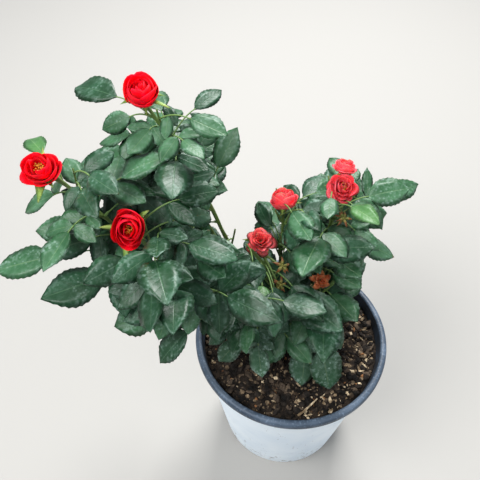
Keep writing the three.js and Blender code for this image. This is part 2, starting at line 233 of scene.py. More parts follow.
def in_outline(place: Vec) -> bool:
    """Whether the outline holds a place: a line to the left crosses it an odd number of times."""
    u, v, _ = seen(place)
    crossings = 0
    for (u0, v0), (u1, v1) in zip(BUSH_OUTLINE, BUSH_OUTLINE[1:] + BUSH_OUTLINE[:1]):
        crossings += (v0 > v) != (v1 > v) and u > u0 + ((v - v0) / (v1 - v0)) * (u1 - u0)
    return crossings % 2 == 1


# ---------------------------------------------------------------- the bush's rule, as in the source


class Kind(Enum):
    """The blooms' stages."""

    FULL = "full"
    OPEN = "open"
    EGG = "egg"
    CORAL = "coral"
    CUP = "cup"
    WILTED = "wilted"
    DRIED = "dried"


@dataclass(frozen=True)
class Bloom:
    """A bloom: where it is, the way its solid faces, its radius and stage.

    Its petals have their own turn, and shares of the radius across; its stalk may swell.
    """

    at: Vec
    facing: Vec
    radius: float
    kind: Kind
    gaze: Optional[Vec] = None
    squash: tuple[float, float] = (1.0, 1.0)
    swelling: float = 0.5


@dataclass(frozen=True)
class Sepal:
    """A long sepal that stands out from its bloom: from where to where, how wide, and its bow."""

    start: Vec
    end: Vec
    width: float
    bow: float


@dataclass(frozen=True)
class Spray:
    """A spray: its seed, its cane's foot, its twig, the tips its leaves aim at, and its blooms."""

    name: str
    seed: int
    foot: float
    root: Vec
    tip: Vec
    leaves: tuple[Optional[tuple[float, float, float]], ...]
    blooms: tuple[Bloom, ...] = ()


FREE = None

# Spent calyces without petals: where each is, the way it faces, its size, and its spray
SPENT = (
    (Vec(-20, -6, 398), Vec(0.3, -0.5, 0.8), 9.5, "centre_front"),
    (Vec(-22, -22, 382), Vec(0.4, -0.6, 0.6), 9.0, "centre_front"),
    (Vec(49, 30, 440), Vec(0.4, -0.5, 0.7), 9.0, "right"),
)

# The long sepals that the photograph shows under its three red blooms
SEPALS = (
    Sepal(Vec(-161, 65, 574), Vec(-136, 52, 574), 4.4, 4.0),
    Sepal(Vec(-258, -5, 533), Vec(-260, -32, 529), 7.2, 2.0),
    Sepal(Vec(-177, -44, 500), Vec(-178, -73, 487), 8.2, 2.0),
    Sepal(Vec(-182, -41, 504), Vec(-206, -41, 505), 5.0, 2.0),
    Sepal(Vec(-171, -37, 507), Vec(-156, -31, 519), 6.6, 2.0),
)

SPRAYS = (
    Spray(
        "tall_left", 11, 32, Vec(-92, 40, 412), Vec(-163, 62, 572),
        (FREE, FREE, (-82, 70, 517), FREE, FREE, (-239, 53, 507), FREE, (-93, 107, 557),
         (-240, 112, 562), (-142, 116, 582)),
        (Bloom(Vec(-166, 65, 586), Vec(0.1, -0.55, 0.83), 18.5, Kind.FULL, Vec(0.06, -0.3, 0.95),
               (0.9, 0.97), 2.2),),
    ),
    Spray(
        "far_left", 22, 24, Vec(-128, -8, 372), Vec(-250, 0, 537),
        (FREE, (-259, -65, 437), FREE, (-322, -39, 442), FREE, FREE, (-235, -34, 482), FREE,
         FREE, (-286, -10, 502), (-287, 56, 537)),
        (Bloom(Vec(-259, -4, 547), Vec(-0.6, -0.3, 0.74), 19.5, Kind.OPEN, Vec(-0.08, -0.42, 0.9),
               (0.92, 0.8), 1.2),),
    ),
    Spray(
        "front_left", 33, 14, Vec(-90, -36, 352), Vec(-172, -42, 498),
        ((-164, -84, 322), (-112, -78, 318), (-206, -66, 372), FREE, FREE, (-202, -62, 432), FREE,
         (-109, -30, 437), FREE, FREE, (-98, 14, 467)),
        (Bloom(Vec(-175, -48, 511), Vec(0, -0.62, 0.78), 17, Kind.EGG, Vec(0.09, -0.74, 0.66),
               (0.9, 1.1)),),
    ),
    Spray("mid_left", 121, 17, Vec(-100, 32, 362), Vec(-152, 22, 478), (FREE,) * 9),
    Spray(
        "inner_left", 52, 8, Vec(-44, -30, 316), Vec(-86, -30, 410),
        ((-94, -66, 280), (-46, -98, 300), (-108, -66, 330), (-12, -56, 345), (-128, -14, 392),
         (-66, 24, 432)),
    ),
    Spray(
        "centre", 55, 33, Vec(-18, 44, 345), Vec(-18, 58, 424),
        (FREE, FREE, FREE, (32, 108, 427), (-53, 74, 440)),
        (Bloom(Vec(-18, 61, 437), Vec(0.1, 0.1, 1), 16, Kind.CUP, Vec(-0.12, 0.3, 0.94)),),
    ),
    Spray(
        "centre_front", 66, 24, Vec(-28, -8, 335), Vec(-44, 20, 394),
        (FREE, (14, -38, 320), (-58, -34, 348), FREE, (34, -4, 352), FREE, (6, 46, 372),
         (-74, 40, 392)),
        (Bloom(Vec(-45, 25, 406), Vec(-0.1, -0.35, 0.93), 17, Kind.WILTED, squash=(0.88, 0.86)),),
    ),
    Spray(
        "right", 77, 24, Vec(24, 36, 345), Vec(46, 58, 446),
        (FREE, (73, 3, 352), FREE, (108, 26, 387), FREE, (141, 85, 437), (4, 68, 430),
         (78, 92, 478)),
        (
            Bloom(Vec(47, 58, 460), Vec(0, -0.5, 0.86), 16.5, Kind.CORAL),
            Bloom(Vec(52, 84, 468), Vec(0.15, 0.3, 0.94), 13, Kind.CORAL),
        ),
    ),
    Spray(
        "front", 97, 12, Vec(14, -8, 300), Vec(29, 2, 345),
        ((10, -80, 258), (45, -84, 256), (-46, -56, 268), (58, -48, 288), (74, -14, 327),
         FREE),
        (Bloom(Vec(29, 5, 354), Vec(0.1, -0.3, 0.95), 9.5, Kind.DRIED, Vec(0.2, -0.6, 0.77),
               (1.3, 1.15)),),
    ),
    Spray(
        "back_left", 99, 9, Vec(-96, 66, 350), Vec(-158, 120, 440),
        (FREE, FREE, FREE, FREE, FREE, (-176, 182, 468)),
    ),
    Spray(
        "back_right", 119, 17, Vec(34, 72, 318), Vec(74, 116, 366),
        (FREE, FREE, FREE, (92, 172, 372)),
    ),
)


# Tips that the photograph's outline still wants: seed, spray, share of its twig, and tip
MORE_TIPS = (
    (4000, "tall_left", 0.9, Vec(-212, 55, 548)),
    (4001, "tall_left", 0.74, Vec(-219, 64, 525)),
    (4003, "tall_left", 0.82, Vec(-174, 14, 560)),
    (4004, "far_left", 0.78, Vec(-245, 30, 530)),
    (4005, "far_left", 0.62, Vec(-247, 7, 505)),
    (4006, "far_left", 0.5, Vec(-278, -14, 470)),
)

# What the photograph sees whole, by middle and radius: blooms, spent calyces, one long stalk
SIGHTS = tuple(
    [(bloom.at, bloom.radius * 0.92) for spray in SPRAYS for bloom in spray.blooms]
    + [(at, size * 0.8) for at, _, size, _ in SPENT]
    + [(Vec(-161, 61, 566), 4.0), (Vec(-157, 59, 553), 4.0)]
)

# How much narrower the leaflets of some aimed leaves are, by their tip
NARROW = {
    (141, 85, 437): 0.62, (-93, 107, 557): 0.72, (-240, 112, 562): 0.9, (-287, 56, 537): 0.9,
}


@dataclass(frozen=True)
class PotSizes:
    """The pot's sizes."""

    height: float = 237
    rim_radius: float = 130
    lip_width: float = 9
    lip_depth: float = 12
    shoulder_radius: float = 121.5
    base_radius: float = 92.4
    wall: float = 2.5
    floor: float = 4

    def outer_radius(self, z: float) -> float:
        """The wall's outer radius at a height."""
        return mix(self.base_radius, self.shoulder_radius, z / (self.height - self.lip_depth))

    def inner_radius(self, z: float) -> float:
        """The wall's inner radius at a height."""
        return self.outer_radius(z) - self.wall


@dataclass(frozen=True)
class SoilSizes:
    """The soil's sizes."""

    edge_below_rim: float = 17
    swell: float = 6
    fall: float = 3


@dataclass(frozen=True)
class StemSizes:
    """The woody stem's place and sizes."""

    x: float = -20
    y: float = 12
    flare: float = 15
    waist: float = 10.5
    waist_at: float = 0.3
    knuckle: float = 13
    knuckle_at: float = 0.72
    neck: float = 10.4
    height: float = 34
    dome: float = 2


POT, SOIL, STEM = PotSizes(), SoilSizes(), StemSizes()
SOIL_TOP = POT.height - SOIL.edge_below_rim + SOIL.swell

# Radii at a limb's foot and tip, a cane's steps, seat in the stem and bow, and the blooms' fork
CANE_FOOT, CANE_TIP, CANE_STEPS, CANE_SEAT, CANE_BOW = 3.2, 2.2, 5, 0.7, 0.06
TWIG_FOOT, TWIG_TIP, TWIG_FORK = 2.1, 1.4, 0.86
STALK_RADIUS = 1.3
RACHIS_FOOT, RACHIS_TIP, RACHIS_BOW = 1.1, 0.8, 0.13
BLOOM_HALF = 0.5


@dataclass(frozen=True)
class LeafRule:
    """How leaves are set on a twig."""

    length: float = 98
    shortest: float = 0.8
    spread: float = 0.3
    terminal: float = 0.5
    terminal_least: float = 34
    terminal_most: float = 56
    turn: float = 137.5
    retry: float = 40
    tries: int = 9
    rise: float = 4
    rise_top: float = 34
    wobble: float = 12
    roll: float = 22
    lowest: float = 0.45
    threes_above: float = 0.78
    sevens: float = 0.12


LEAF = LeafRule()
# By a leaf's number of leaflets: the shares of its rachis that bear pairs, and their first size
PAIRS = {3: ((0.7,), 0.84), 5: ((0.76, 0.3), 0.76), 7: ((0.82, 0.5, 0.18), 0.56)}
# A leaflet's shape and seat, the range of its sizes, and its plain outline
WIDTH, CURL, FOLD, SUNK, SPLAY, DROOP = 0.7, 0.16, 0.22, 2.2, 64, 0.16
INNER_SCALE, SHORTEST, LEAST, MOST, SPAN, WAIST = 0.9, 16, 0.92, 1.06, 0.95, 0.42
OUTLINE = ((0, 0), (0.3, 0.43), (0.62, 0.43), (1, 0), (0.62, -0.43), (0.3, -0.43))
# The room that leaflets leave to each other, to the pot, to the soil and to their own twig
ROOM_SLAB, ROOM_EDGE, ROOM_NEAR, ROOM_RIM, ROOM_SOIL, ROOM_OWN = 2.6, 1.12, 0.62, 4, 5, 6
# The shares of a leaflet at which it is tried against what the photograph sees whole
TRIED_ALONG, TRIED_ACROSS = (0.0, 0.25, 0.5, 0.75, 1.0, 1.12), (-0.45, 0.0, 0.45)


class Blade:
    """A leaflet: where it starts, the way it points, the way its face looks, and its size."""

    def __init__(self, base: Vec, direction: Vec, roll: float, length: float) -> None:
        """Places the leaflet.

        Args:
            base: where it starts.
            direction: the way it points.
            roll: its turn about that direction, in radians.
            length: its length.
        """
        self.base, self.direction, self.length = base, direction, length
        self.side, self.normal = axes_across(direction, roll, LIGHT)
        self.width = length * WIDTH
        self.outline = [self.place(x, y) for x, y in OUTLINE]
        self.heart = self.place(WAIST, 0)

    def place(self, x: float, y: float, lift: float = 0.0) -> Vec:
        """A place on the leaflet, as shares of its length and width, lifted off it."""
        rise = FOLD * abs(y) * self.width - CURL * self.length * x * x + lift
        return (
            self.base
            + self.direction * (x * self.length)
            + self.side * (y * self.width)
            + self.normal * rise
        )

    def runs(self) -> list[tuple[Vec, Vec]]:
        """The stretches of its outline, and its midrib."""
        ring = self.outline
        return [*zip(ring, ring[1:] + ring[:1]), (ring[0], ring[3])]

    def crossed(self, start: Vec, end: Vec, margin: float) -> bool:
        """Whether a stretch passes through the leaflet's room."""
        before, after = start - self.heart, end - self.heart
        first, last = before.dot(self.normal), after.dot(self.normal)
        if first * last > 0 and min(abs(first), abs(last)) > ROOM_SLAB + margin:
            return False
        share = first / (first - last) if first * last < 0 else float(abs(last) < abs(first))
        meeting = before.toward(after, share)
        u = meeting.dot(self.direction) / (0.5 * self.length * ROOM_EDGE + margin)
        v = meeting.dot(self.side) / (0.5 * self.width * ROOM_EDGE + margin)
        return u * u + v * v < 1

    def touches(self, other: "Blade") -> bool:
        """Whether two leaflets meet."""
        if distance(self.heart, other.heart) > ROOM_NEAR * (self.length + other.length):
            return False
        return any(other.crossed(*run, 0) for run in self.runs()) or any(
            self.crossed(*run, 0) for run in other.runs()
        )

    def clear_of_pot(self) -> bool:
        """Whether it stays over the soil, over the rim or outside the pot."""
        for x, y, z in self.outline:
            radius = math.hypot(x, y)
            if radius > POT.rim_radius + ROOM_RIM:
                continue
            over_soil = radius < POT.rim_radius - POT.lip_width - ROOM_RIM
            if z <= (SOIL_TOP + ROOM_SOIL if over_soil else POT.height + ROOM_RIM):
                return False
        return True


@dataclass
class Leaf:
    """A compound leaf: its rachis, its leaflets, and the rachis's nodes."""

    rachis: Arc
    blades: list[Blade]
    shares: list[float]
    height: float = 0.0
    spray: str = ""
    extra: bool = False
    slim: float = 1.0


def make_leaf(start: Vec, tip: Vec, count: int, roll: float, draw: Draw) -> Leaf:
    """Sets a compound leaf between a place on a twig and its tip.

    Args:
        start: its foot on the twig.
        tip: its tip.
        count: its number of leaflets.
        roll: its turn about its own line, in radians.
        draw: the spray's draws.

    Returns:
        The leaf.
    """
    reach = distance(start, tip)
    terminal = min(max(LEAF.terminal * reach, LEAF.terminal_least), LEAF.terminal_most)
    chord = (tip - start).unit()
    end = tip + chord * (-terminal * SPAN) + UP * (CURL * terminal * SPAN)
    rachis = Arc(start, start.toward(end, 0.5) + UP * (RACHIS_BOW * reach), end)
    last = rachis.heading(1).toward(chord, 0.5).unit()
    blades = [Blade(end + last * -SUNK, last, roll, terminal)]
    shares, scale = PAIRS[count]
    length = terminal * scale
    for share in shares:
        node, heading = rachis.at(share), rachis.heading(share)
        side, _ = axes_across(heading, roll, LIGHT)
        for hand in (1, -1):
            splay = math.radians(SPLAY + draw.between(-LEAF.wobble, LEAF.wobble))
            direction = (
                heading * math.cos(splay) + side * (hand * math.sin(splay)) + UP * -DROOP
            ).unit()
            size = max(SHORTEST, length * draw.between(LEAST, MOST))
            lean = math.radians(draw.between(-LEAF.wobble, LEAF.wobble))
            blades.append(Blade(node, direction, lean, size))
        length *= INNER_SCALE
    return Leaf(rachis, blades, sorted([*shares, 0.0, 1.0]))


@dataclass(frozen=True)
class Stretch:
    """A straight stretch of a limb, with its radius."""

    start: Vec
    end: Vec
    radius: float


@dataclass(frozen=True)
class ShootRule:
    """How finer shoots spring: their places, ways and sizes. Denser sprays have more of them."""

    on_cane: tuple[float, ...] = (0.5, 0.78)
    on_twig: tuple[float, ...] = (0.15, 0.32, 0.5, 0.68, 0.84)
    more_on_twig: tuple[float, ...] = (0.06, 0.24, 0.42, 0.6, 0.76)
    denser: tuple[str, ...] = ("centre", "centre_front", "right", "front")
    ahead: float = 0.75
    aside: float = 0.55
    off: float = 0.3
    upward: float = 0.25
    reach: tuple[float, float] = (26, 46)
    leaves: int = 3
    leaf_scale: tuple[float, float] = (0.66, 0.9)
    foot: float = 1.4
    tip: float = 0.9
    aimed_reach: float = 12
    aimed_foot: float = 1.3
    aimed_tip: float = 1.0


FINER = ShootRule()


@dataclass
class Shoot:
    """A twig with the leaves it bears, and the spray it belongs to.

    Its aims are the tips of its leaves, free or given, and scale is the reach of the free ones.
    """

    spray: str
    arc: Arc
    aims: Sequence[Optional[tuple[float, float, float]]]
    foot: float
    tip: float
    scale: float = 1.0
    extra: bool = False
    leaves: list[Leaf] = field(default_factory=list)

    def height(self, index: int) -> float:
        """The share of the twig at which a leaf is set."""
        return (index + LEAF.lowest) / len(self.aims)


class Bush:
    """Grows canes, twigs and leaves by the source's rule, then finer shoots in the same reach."""

    def __init__(self) -> None:
        """Grows the whole bush."""
        self.blades: list[Blade] = []
        self.stretches: list[Stretch] = []
        self.canes = {spray.name: self._cane(spray) for spray in SPRAYS}
        self.shoots = [self._twig(spray) for spray in SPRAYS]
        low, high = CAD_BOX
        self.low, self.high = Vec(*(low / MM)), Vec(*(high / MM))
        for spray in SPRAYS:
            for bloom in spray.blooms:
                half = bloom.facing.unit() * (BLOOM_HALF * bloom.radius)
                self.stretches.append(Stretch(bloom.at - half, bloom.at + half, bloom.radius))
        for cane in self.canes.values():
            self._add_stretches(cane, CANE_FOOT, evenly(CANE_STEPS))
        for shoot in self.shoots:
            shares = [0.0, *(shoot.height(i) for i in range(len(shoot.aims))), TWIG_FORK, 1.0]
            self._add_stretches(shoot.arc, TWIG_FOOT, sorted(shares))
        for spray, shoot in zip(SPRAYS, self.shoots):
            self._grow(shoot, Draw(spray.seed))
        self._bare_blooms()
        self.shoots += self._finer_shoots()

    @staticmethod
    def _cane(spray: Spray) -> Arc:
        """A cane, from the stem's side to the root of its spray."""
        out = Vec(spray.root.x - STEM.x, spray.root.y - STEM.y, 0).unit()
        start = Vec(STEM.x, STEM.y, SOIL_TOP + spray.foot) + out * (STEM.waist * CANE_SEAT)
        reach = CANE_BOW * distance(start, spray.root)
        return Arc(start, start.toward(spray.root, 0.5) + out * reach, spray.root)

    def _twig(self, spray: Spray) -> Shoot:
        """A spray's main twig, which goes on from its cane."""
        heading = self.canes[spray.name].heading(1)
        arc = set_off(spray.root + heading * GAP, heading, spray.tip)
        return Shoot(spray.name, arc, spray.leaves, TWIG_FOOT, TWIG_TIP)

    def _add_stretches(self, arc: Arc, radius: float, shares: Sequence[float]) -> None:
        """Keeps an arc's room clear."""
        places = arc.places(shares)
        self.stretches += [Stretch(a, b, radius) for a, b in zip(places, places[1:])]

    def _roomy(self, leaf: Leaf, own_start: Vec, aimed: bool) -> list[Blade]:
        """The leaflets that have room. None has where the rachis itself is in the way.

        Args:
            leaf: the leaf.
            own_start: the place on the twig that it springs from.
            aimed: whether its end leaflet makes a tip of the outline, and needn't keep within it.

        Returns:
            The leaflets that can stay.
        """
        places = leaf.rachis.places(leaf.shares)
        for start, end in zip(places, places[1:]):
            for other in self.blades:
                near = distance(end, other.heart) < other.length
                if near and other.crossed(start, end, RACHIS_FOOT):
                    return []
        return [
            blade
            for i, blade in enumerate(leaf.blades)
            if blade.clear_of_pot()
            and ((aimed and i == 0) or all(in_outline(p) for p in blade.outline))
            and not any(blade.touches(other) for other in self.blades)
            and not any(
                distance(s.end, own_start) > ROOM_OWN and blade.crossed(s.start, s.end, s.radius)
                for s in self.stretches
            )
        ]

    @staticmethod
    def _hides(blade: Blade) -> bool:
        """Whether a leaflet stands before a bloom or a spent calyx, as the photograph sees it."""
        heart_u, heart_v, heart_depth = seen(blade.heart)
        for at, radius in SIGHTS:
            u, v, depth = seen(at)
            reach = radius * VIEW_FOCAL / depth
            near = 2 * reach + blade.length * VIEW_FOCAL / depth
            if heart_depth > depth + radius or math.hypot(heart_u - u, heart_v - v) > near:
                continue
            for x in TRIED_ALONG:
                for y in TRIED_ACROSS:
                    place_u, place_v, _ = seen(blade.place(x, y * math.sin(math.pi * min(x, 1.0))))
                    if math.hypot(place_u - u, place_v - v) < reach:
                        return True
        return False

    def _bare_blooms(self) -> None:
        """Takes away leaflets that stand before a bloom, and leaves that lose their end one."""
        for shoot in self.shoots:
            for leaf in shoot.leaves:
                ends = self._hides(leaf.blades[0])
                leaf.blades = [] if ends else [b for b in leaf.blades if not self._hides(b)]
            shoot.leaves = [leaf for leaf in shoot.leaves if leaf.blades]
        self.blades = [b for shoot in self.shoots for leaf in shoot.leaves for b in leaf.blades]

    def _inside(self, leaf: Leaf) -> bool:
        """Whether a leaf stays within the reach of the solids."""
        return all(
            self.low.x <= p.x <= self.high.x
            and self.low.y <= p.y <= self.high.y
            and p.z <= self.high.z
            for blade in leaf.blades
            for p in blade.outline
        )

    def _grow(self, shoot: Shoot, draw: Draw) -> None:
        """Sets a shoot's leaves: they turn round it, rise towards its tip, and look for room."""
        turn = draw.between(0, 360)
        for index, aim in enumerate(shoot.aims):
            height = shoot.height(index)
            start = shoot.arc.at(height)
            count = 3 if height > LEAF.threes_above else (7 if draw() < LEAF.sevens else 5)
            reach = LEAF.length * draw.between(LEAF.shortest, LEAF.shortest + LEAF.spread)
            best: Optional[Leaf] = None
            for go in range(LEAF.tries):
                roll = math.radians(draw.between(-LEAF.roll, LEAF.roll))
                heading = math.radians(turn + go * LEAF.retry)
                climb = mix(LEAF.rise, LEAF.rise_top, height)
                rise = math.radians(climb + draw.between(-LEAF.wobble, LEAF.wobble))
                level = math.cos(rise)
                way = Vec(math.cos(heading) * level, math.sin(heading) * level, math.sin(rise))
                tip = Vec(*aim) if aim else start + way * (reach * shoot.scale)
                leaf = make_leaf(start, tip, count, roll, draw)
                kept = self._roomy(leaf, start, aim is not FREE)
                if shoot.extra and not self._inside(leaf):
                    continue
                if shoot.extra:
                    kept = [blade for blade in kept if not self._hides(blade)]
                whole = len(kept) == len(leaf.blades)
                has_end = any(blade is leaf.blades[0] for blade in kept)
                if has_end and (best is None or len(kept) > len(best.blades)):
                    best = Leaf(leaf.rachis, kept, leaf.shares, height, shoot.spray, shoot.extra,
                                NARROW.get(aim, 1.0) if aim else 1.0)
                if whole:
                    break
            turn += LEAF.turn
            if best is None:
                continue
            shoot.leaves.append(best)
            self.blades += best.blades
            self._add_stretches(best.rachis, RACHIS_FOOT, best.shares)

    def _finer_shoots(self) -> list[Shoot]:
        """Grows side shoots from the canes and twigs, with smaller leaves that fill the bush."""
        made: list[Shoot] = []
        twigs = {shoot.spray: shoot.arc for shoot in self.shoots}
        for seed, name, share, tip in MORE_TIPS:
            start = twigs[name].at(share)
            way = ((tip - start).unit() + twigs[name].heading(share)).unit()
            arc = set_off(start, way, start + way * FINER.aimed_reach)
            aims = (tuple(tip),)
            shoot = Shoot(name, arc, aims, FINER.aimed_foot, FINER.aimed_tip, extra=True)
            self._try(shoot, Draw(seed), 1, made)
        for spray, main in zip(SPRAYS, self.shoots):
            draw = Draw(spray.seed * 7 + 3)
            cane = self.canes[spray.name]
            shares = FINER.on_twig + (FINER.more_on_twig if spray.name in FINER.denser else ())
            parents = [*((cane, t) for t in FINER.on_cane), *((main.arc, t) for t in shares)]
            for arc, share in parents:
                shoot = self._side_shoot(spray.name, arc.at(share), arc.heading(share), draw)
                self._try(shoot, draw, 2, made)
        return made

    @staticmethod
    def _side_shoot(spray: str, start: Vec, heading: Vec, draw: Draw) -> Shoot:
        """A bare side shoot that springs from a limb's place and leans out of its heading."""
        side, normal = axes_across(heading, draw.between(0, 2 * math.pi))
        lift = UP * FINER.upward
        way = (heading * FINER.ahead + side * FINER.aside + normal * FINER.off + lift).unit()
        reach = draw.between(*FINER.reach)
        arc = set_off(start, way, start + (way + lift).unit() * reach)
        scale = draw.between(*FINER.leaf_scale)
        return Shoot(spray, arc, (FREE,) * FINER.leaves, FINER.foot, FINER.tip, scale, True)

    def _try(self, shoot: Shoot, draw: Draw, steps: int, made: list[Shoot]) -> None:
        """Grows a shoot's leaves, and adds it to those made where a leaf finds room."""
        self._grow(shoot, draw)
        if shoot.leaves:
            self._add_stretches(shoot.arc, shoot.foot, evenly(steps))
            made.append(shoot)


# ---------------------------------------------------------------- meshes


class Stock:
    """Corners and faces of many small forms, gathered into one mesh."""

    UV = "own"
    # How far a tube's pattern runs for each millimetre, and how round its ends are
    PATTERN, ROUNDING = 0.01, 0.5

    def __init__(self) -> None:
        """Starts empty."""
        self.places: list[np.ndarray] = []
        self.faces: list[tuple[int, ...]] = []
        self.slots: list[int] = []
        self.uvs: list[np.ndarray] = []
        self.count = 0

    def add(
        self, places: np.ndarray, faces: Iterable[Sequence[int]], slot: int, uv: np.ndarray
    ) -> None:
        """Adds a form.

        Args:
            places: its corners.
            faces: its faces, as indices of its corners.
            slot: its material slot.
            uv: a place on the pattern for each corner.
        """
        self._add_faces(faces, slot, self.count)
        self.places.append(np.asarray(places, float))
        self.uvs.append(np.asarray(uv, float))
        self.count += len(places)

    def _add_faces(self, faces: Iterable[Sequence[int]], slot: int, base: int) -> None:
        """Adds faces, whose indices count from a base."""
        for face in faces:
            self.faces.append(tuple(int(i) + base for i in face))
            self.slots.append(slot)

    def tube(
        self, centres: Sequence[Vec], radii: Sequence[float], sides: int, slot: int = 0
    ) -> None:
        """Adds a closed tube round a line of centres, with its ends rounded off."""
        line = np.array(centres, float)
        steps = np.gradient(line, axis=0)
        steps /= np.linalg.norm(steps, axis=1)[:, None]
        _, normal = axes_across(Vec(*steps[0]))
        across = np.array(normal)
        spins = np.linspace(0, 2 * math.pi, sides, endpoint=False)
        rings, uv = [], []
        travelled = 0.0
        for i, (centre, step, radius) in enumerate(zip(line, steps, radii)):
            across = across - step * (across @ step)
            across /= np.linalg.norm(across)
            other = np.cross(step, across)
            travelled += float(np.linalg.norm(centre - line[i - 1])) if i else 0.0
            round_it = np.outer(np.cos(spins), across) + np.outer(np.sin(spins), other)
            rings.append(centre + radius * round_it)
            along = np.full(sides, travelled * self.PATTERN)
            uv.append(np.column_stack([along, np.arange(sides) / sides]))
        ends = [
            line[0] - steps[0] * radii[0] * self.ROUNDING,
            line[-1] + steps[-1] * radii[-1] * self.ROUNDING,
        ]
        places = np.vstack([*rings, *[end[None] for end in ends]])
        uv_all = np.vstack([*uv, [[0, 0.5]], [[travelled * self.PATTERN, 0.5]]])
        last = len(line) - 1
        faces: list[Sequence[int]] = []
        for a in range(0, last * sides, sides):
            for k in range(sides):
                n, b = (k + 1) % sides, a + sides
                faces.append((a + k, a + n, b + n, b + k))
        foot, head = len(places) - 2, len(places) - 1
        for k in range(sides):
            n = (k + 1) % sides
            faces.append((foot, n, k))
            faces.append((head, last * sides + k, last * sides + n))
        self.add(places, faces, slot, uv_all)

    def sheet(
        self, grid: np.ndarray, uv: np.ndarray, thickness: float, slots: tuple[int, int]
    ) -> None:
        """Adds a thin closed sheet, thickest in its middle, whose edge is sharp.

        Args:
            grid: corners in three or more rows and columns, as an array of rows x columns x 3. Its
                face looks along the row direction crossed with the column direction.
            uv: the pattern's places, rows x columns x 2.
            thickness: the thickness in the middle.
            slots: material slots of its face and its underside.
        """
        rows, columns = grid.shape[:2]
        normal = np.cross(np.gradient(grid, axis=0), np.gradient(grid, axis=1))
        normal /= np.linalg.norm(normal, axis=2)[..., None] + 1e-12
        inner = np.zeros((rows, columns, 1))
        inner[1:-1, 1:-1] = 1
        above = grid + normal * inner * thickness / 2
        below = grid - normal * inner * thickness / 2
        number = np.arange(rows * columns).reshape(rows, columns)
        under = number.copy()
        within = [(i, j) for i in range(1, rows - 1) for j in range(1, columns - 1)]
        for k, (i, j) in enumerate(within):
            under[i, j] = rows * columns + k
        places = [above.reshape(-1, 3), np.array([below[corner] for corner in within])]
        marks = [uv.reshape(-1, 2), np.array([uv[corner] for corner in within])]
        tops, bottoms = [], []
        for i in range(rows - 1):
            for j in range(columns - 1):
                ring = ((i, j), (i + 1, j), (i + 1, j + 1), (i, j + 1))
                tops.append([number[corner] for corner in ring])
                bottoms.append([under[corner] for corner in (ring[0], *ring[:0:-1])])
        base = self.count
        self.add(np.vstack(places), tops, slots[0], np.vstack(marks))
        self._add_faces(bottoms, slots[1], base)

    def mesh(self, name: str, finishes: Sequence[bpy.types.Material]) -> bpy.types.Object:
        """Makes one smooth mesh object of all the forms.

        Args:
            name: the piece's name.
            finishes: the materials of its slots.

        Returns:
            The object, in metres, at the origin.
        """
        data = bpy.data.meshes.new(name)
        data.from_pydata((np.vstack(self.places) * MM).tolist(), [], self.faces)
        layer = data.uv_layers.new(name=self.UV)
        corners = np.zeros(len(data.loops), np.int32)
        data.loops.foreach_get("vertex_index", corners)
        layer.uv.foreach_set("vector", np.vstack(self.uvs)[corners].astype(np.float32).ravel())
        for finish in finishes:
            data.materials.append(finish)
        data.polygons.foreach_set("material_index", np.array(self.slots, np.int32))
        made = bpy.data.objects.new(name, data)
        Edit.shade(made, True)
        data.update()
        bpy.context.scene.collection.objects.link(made)
        return made


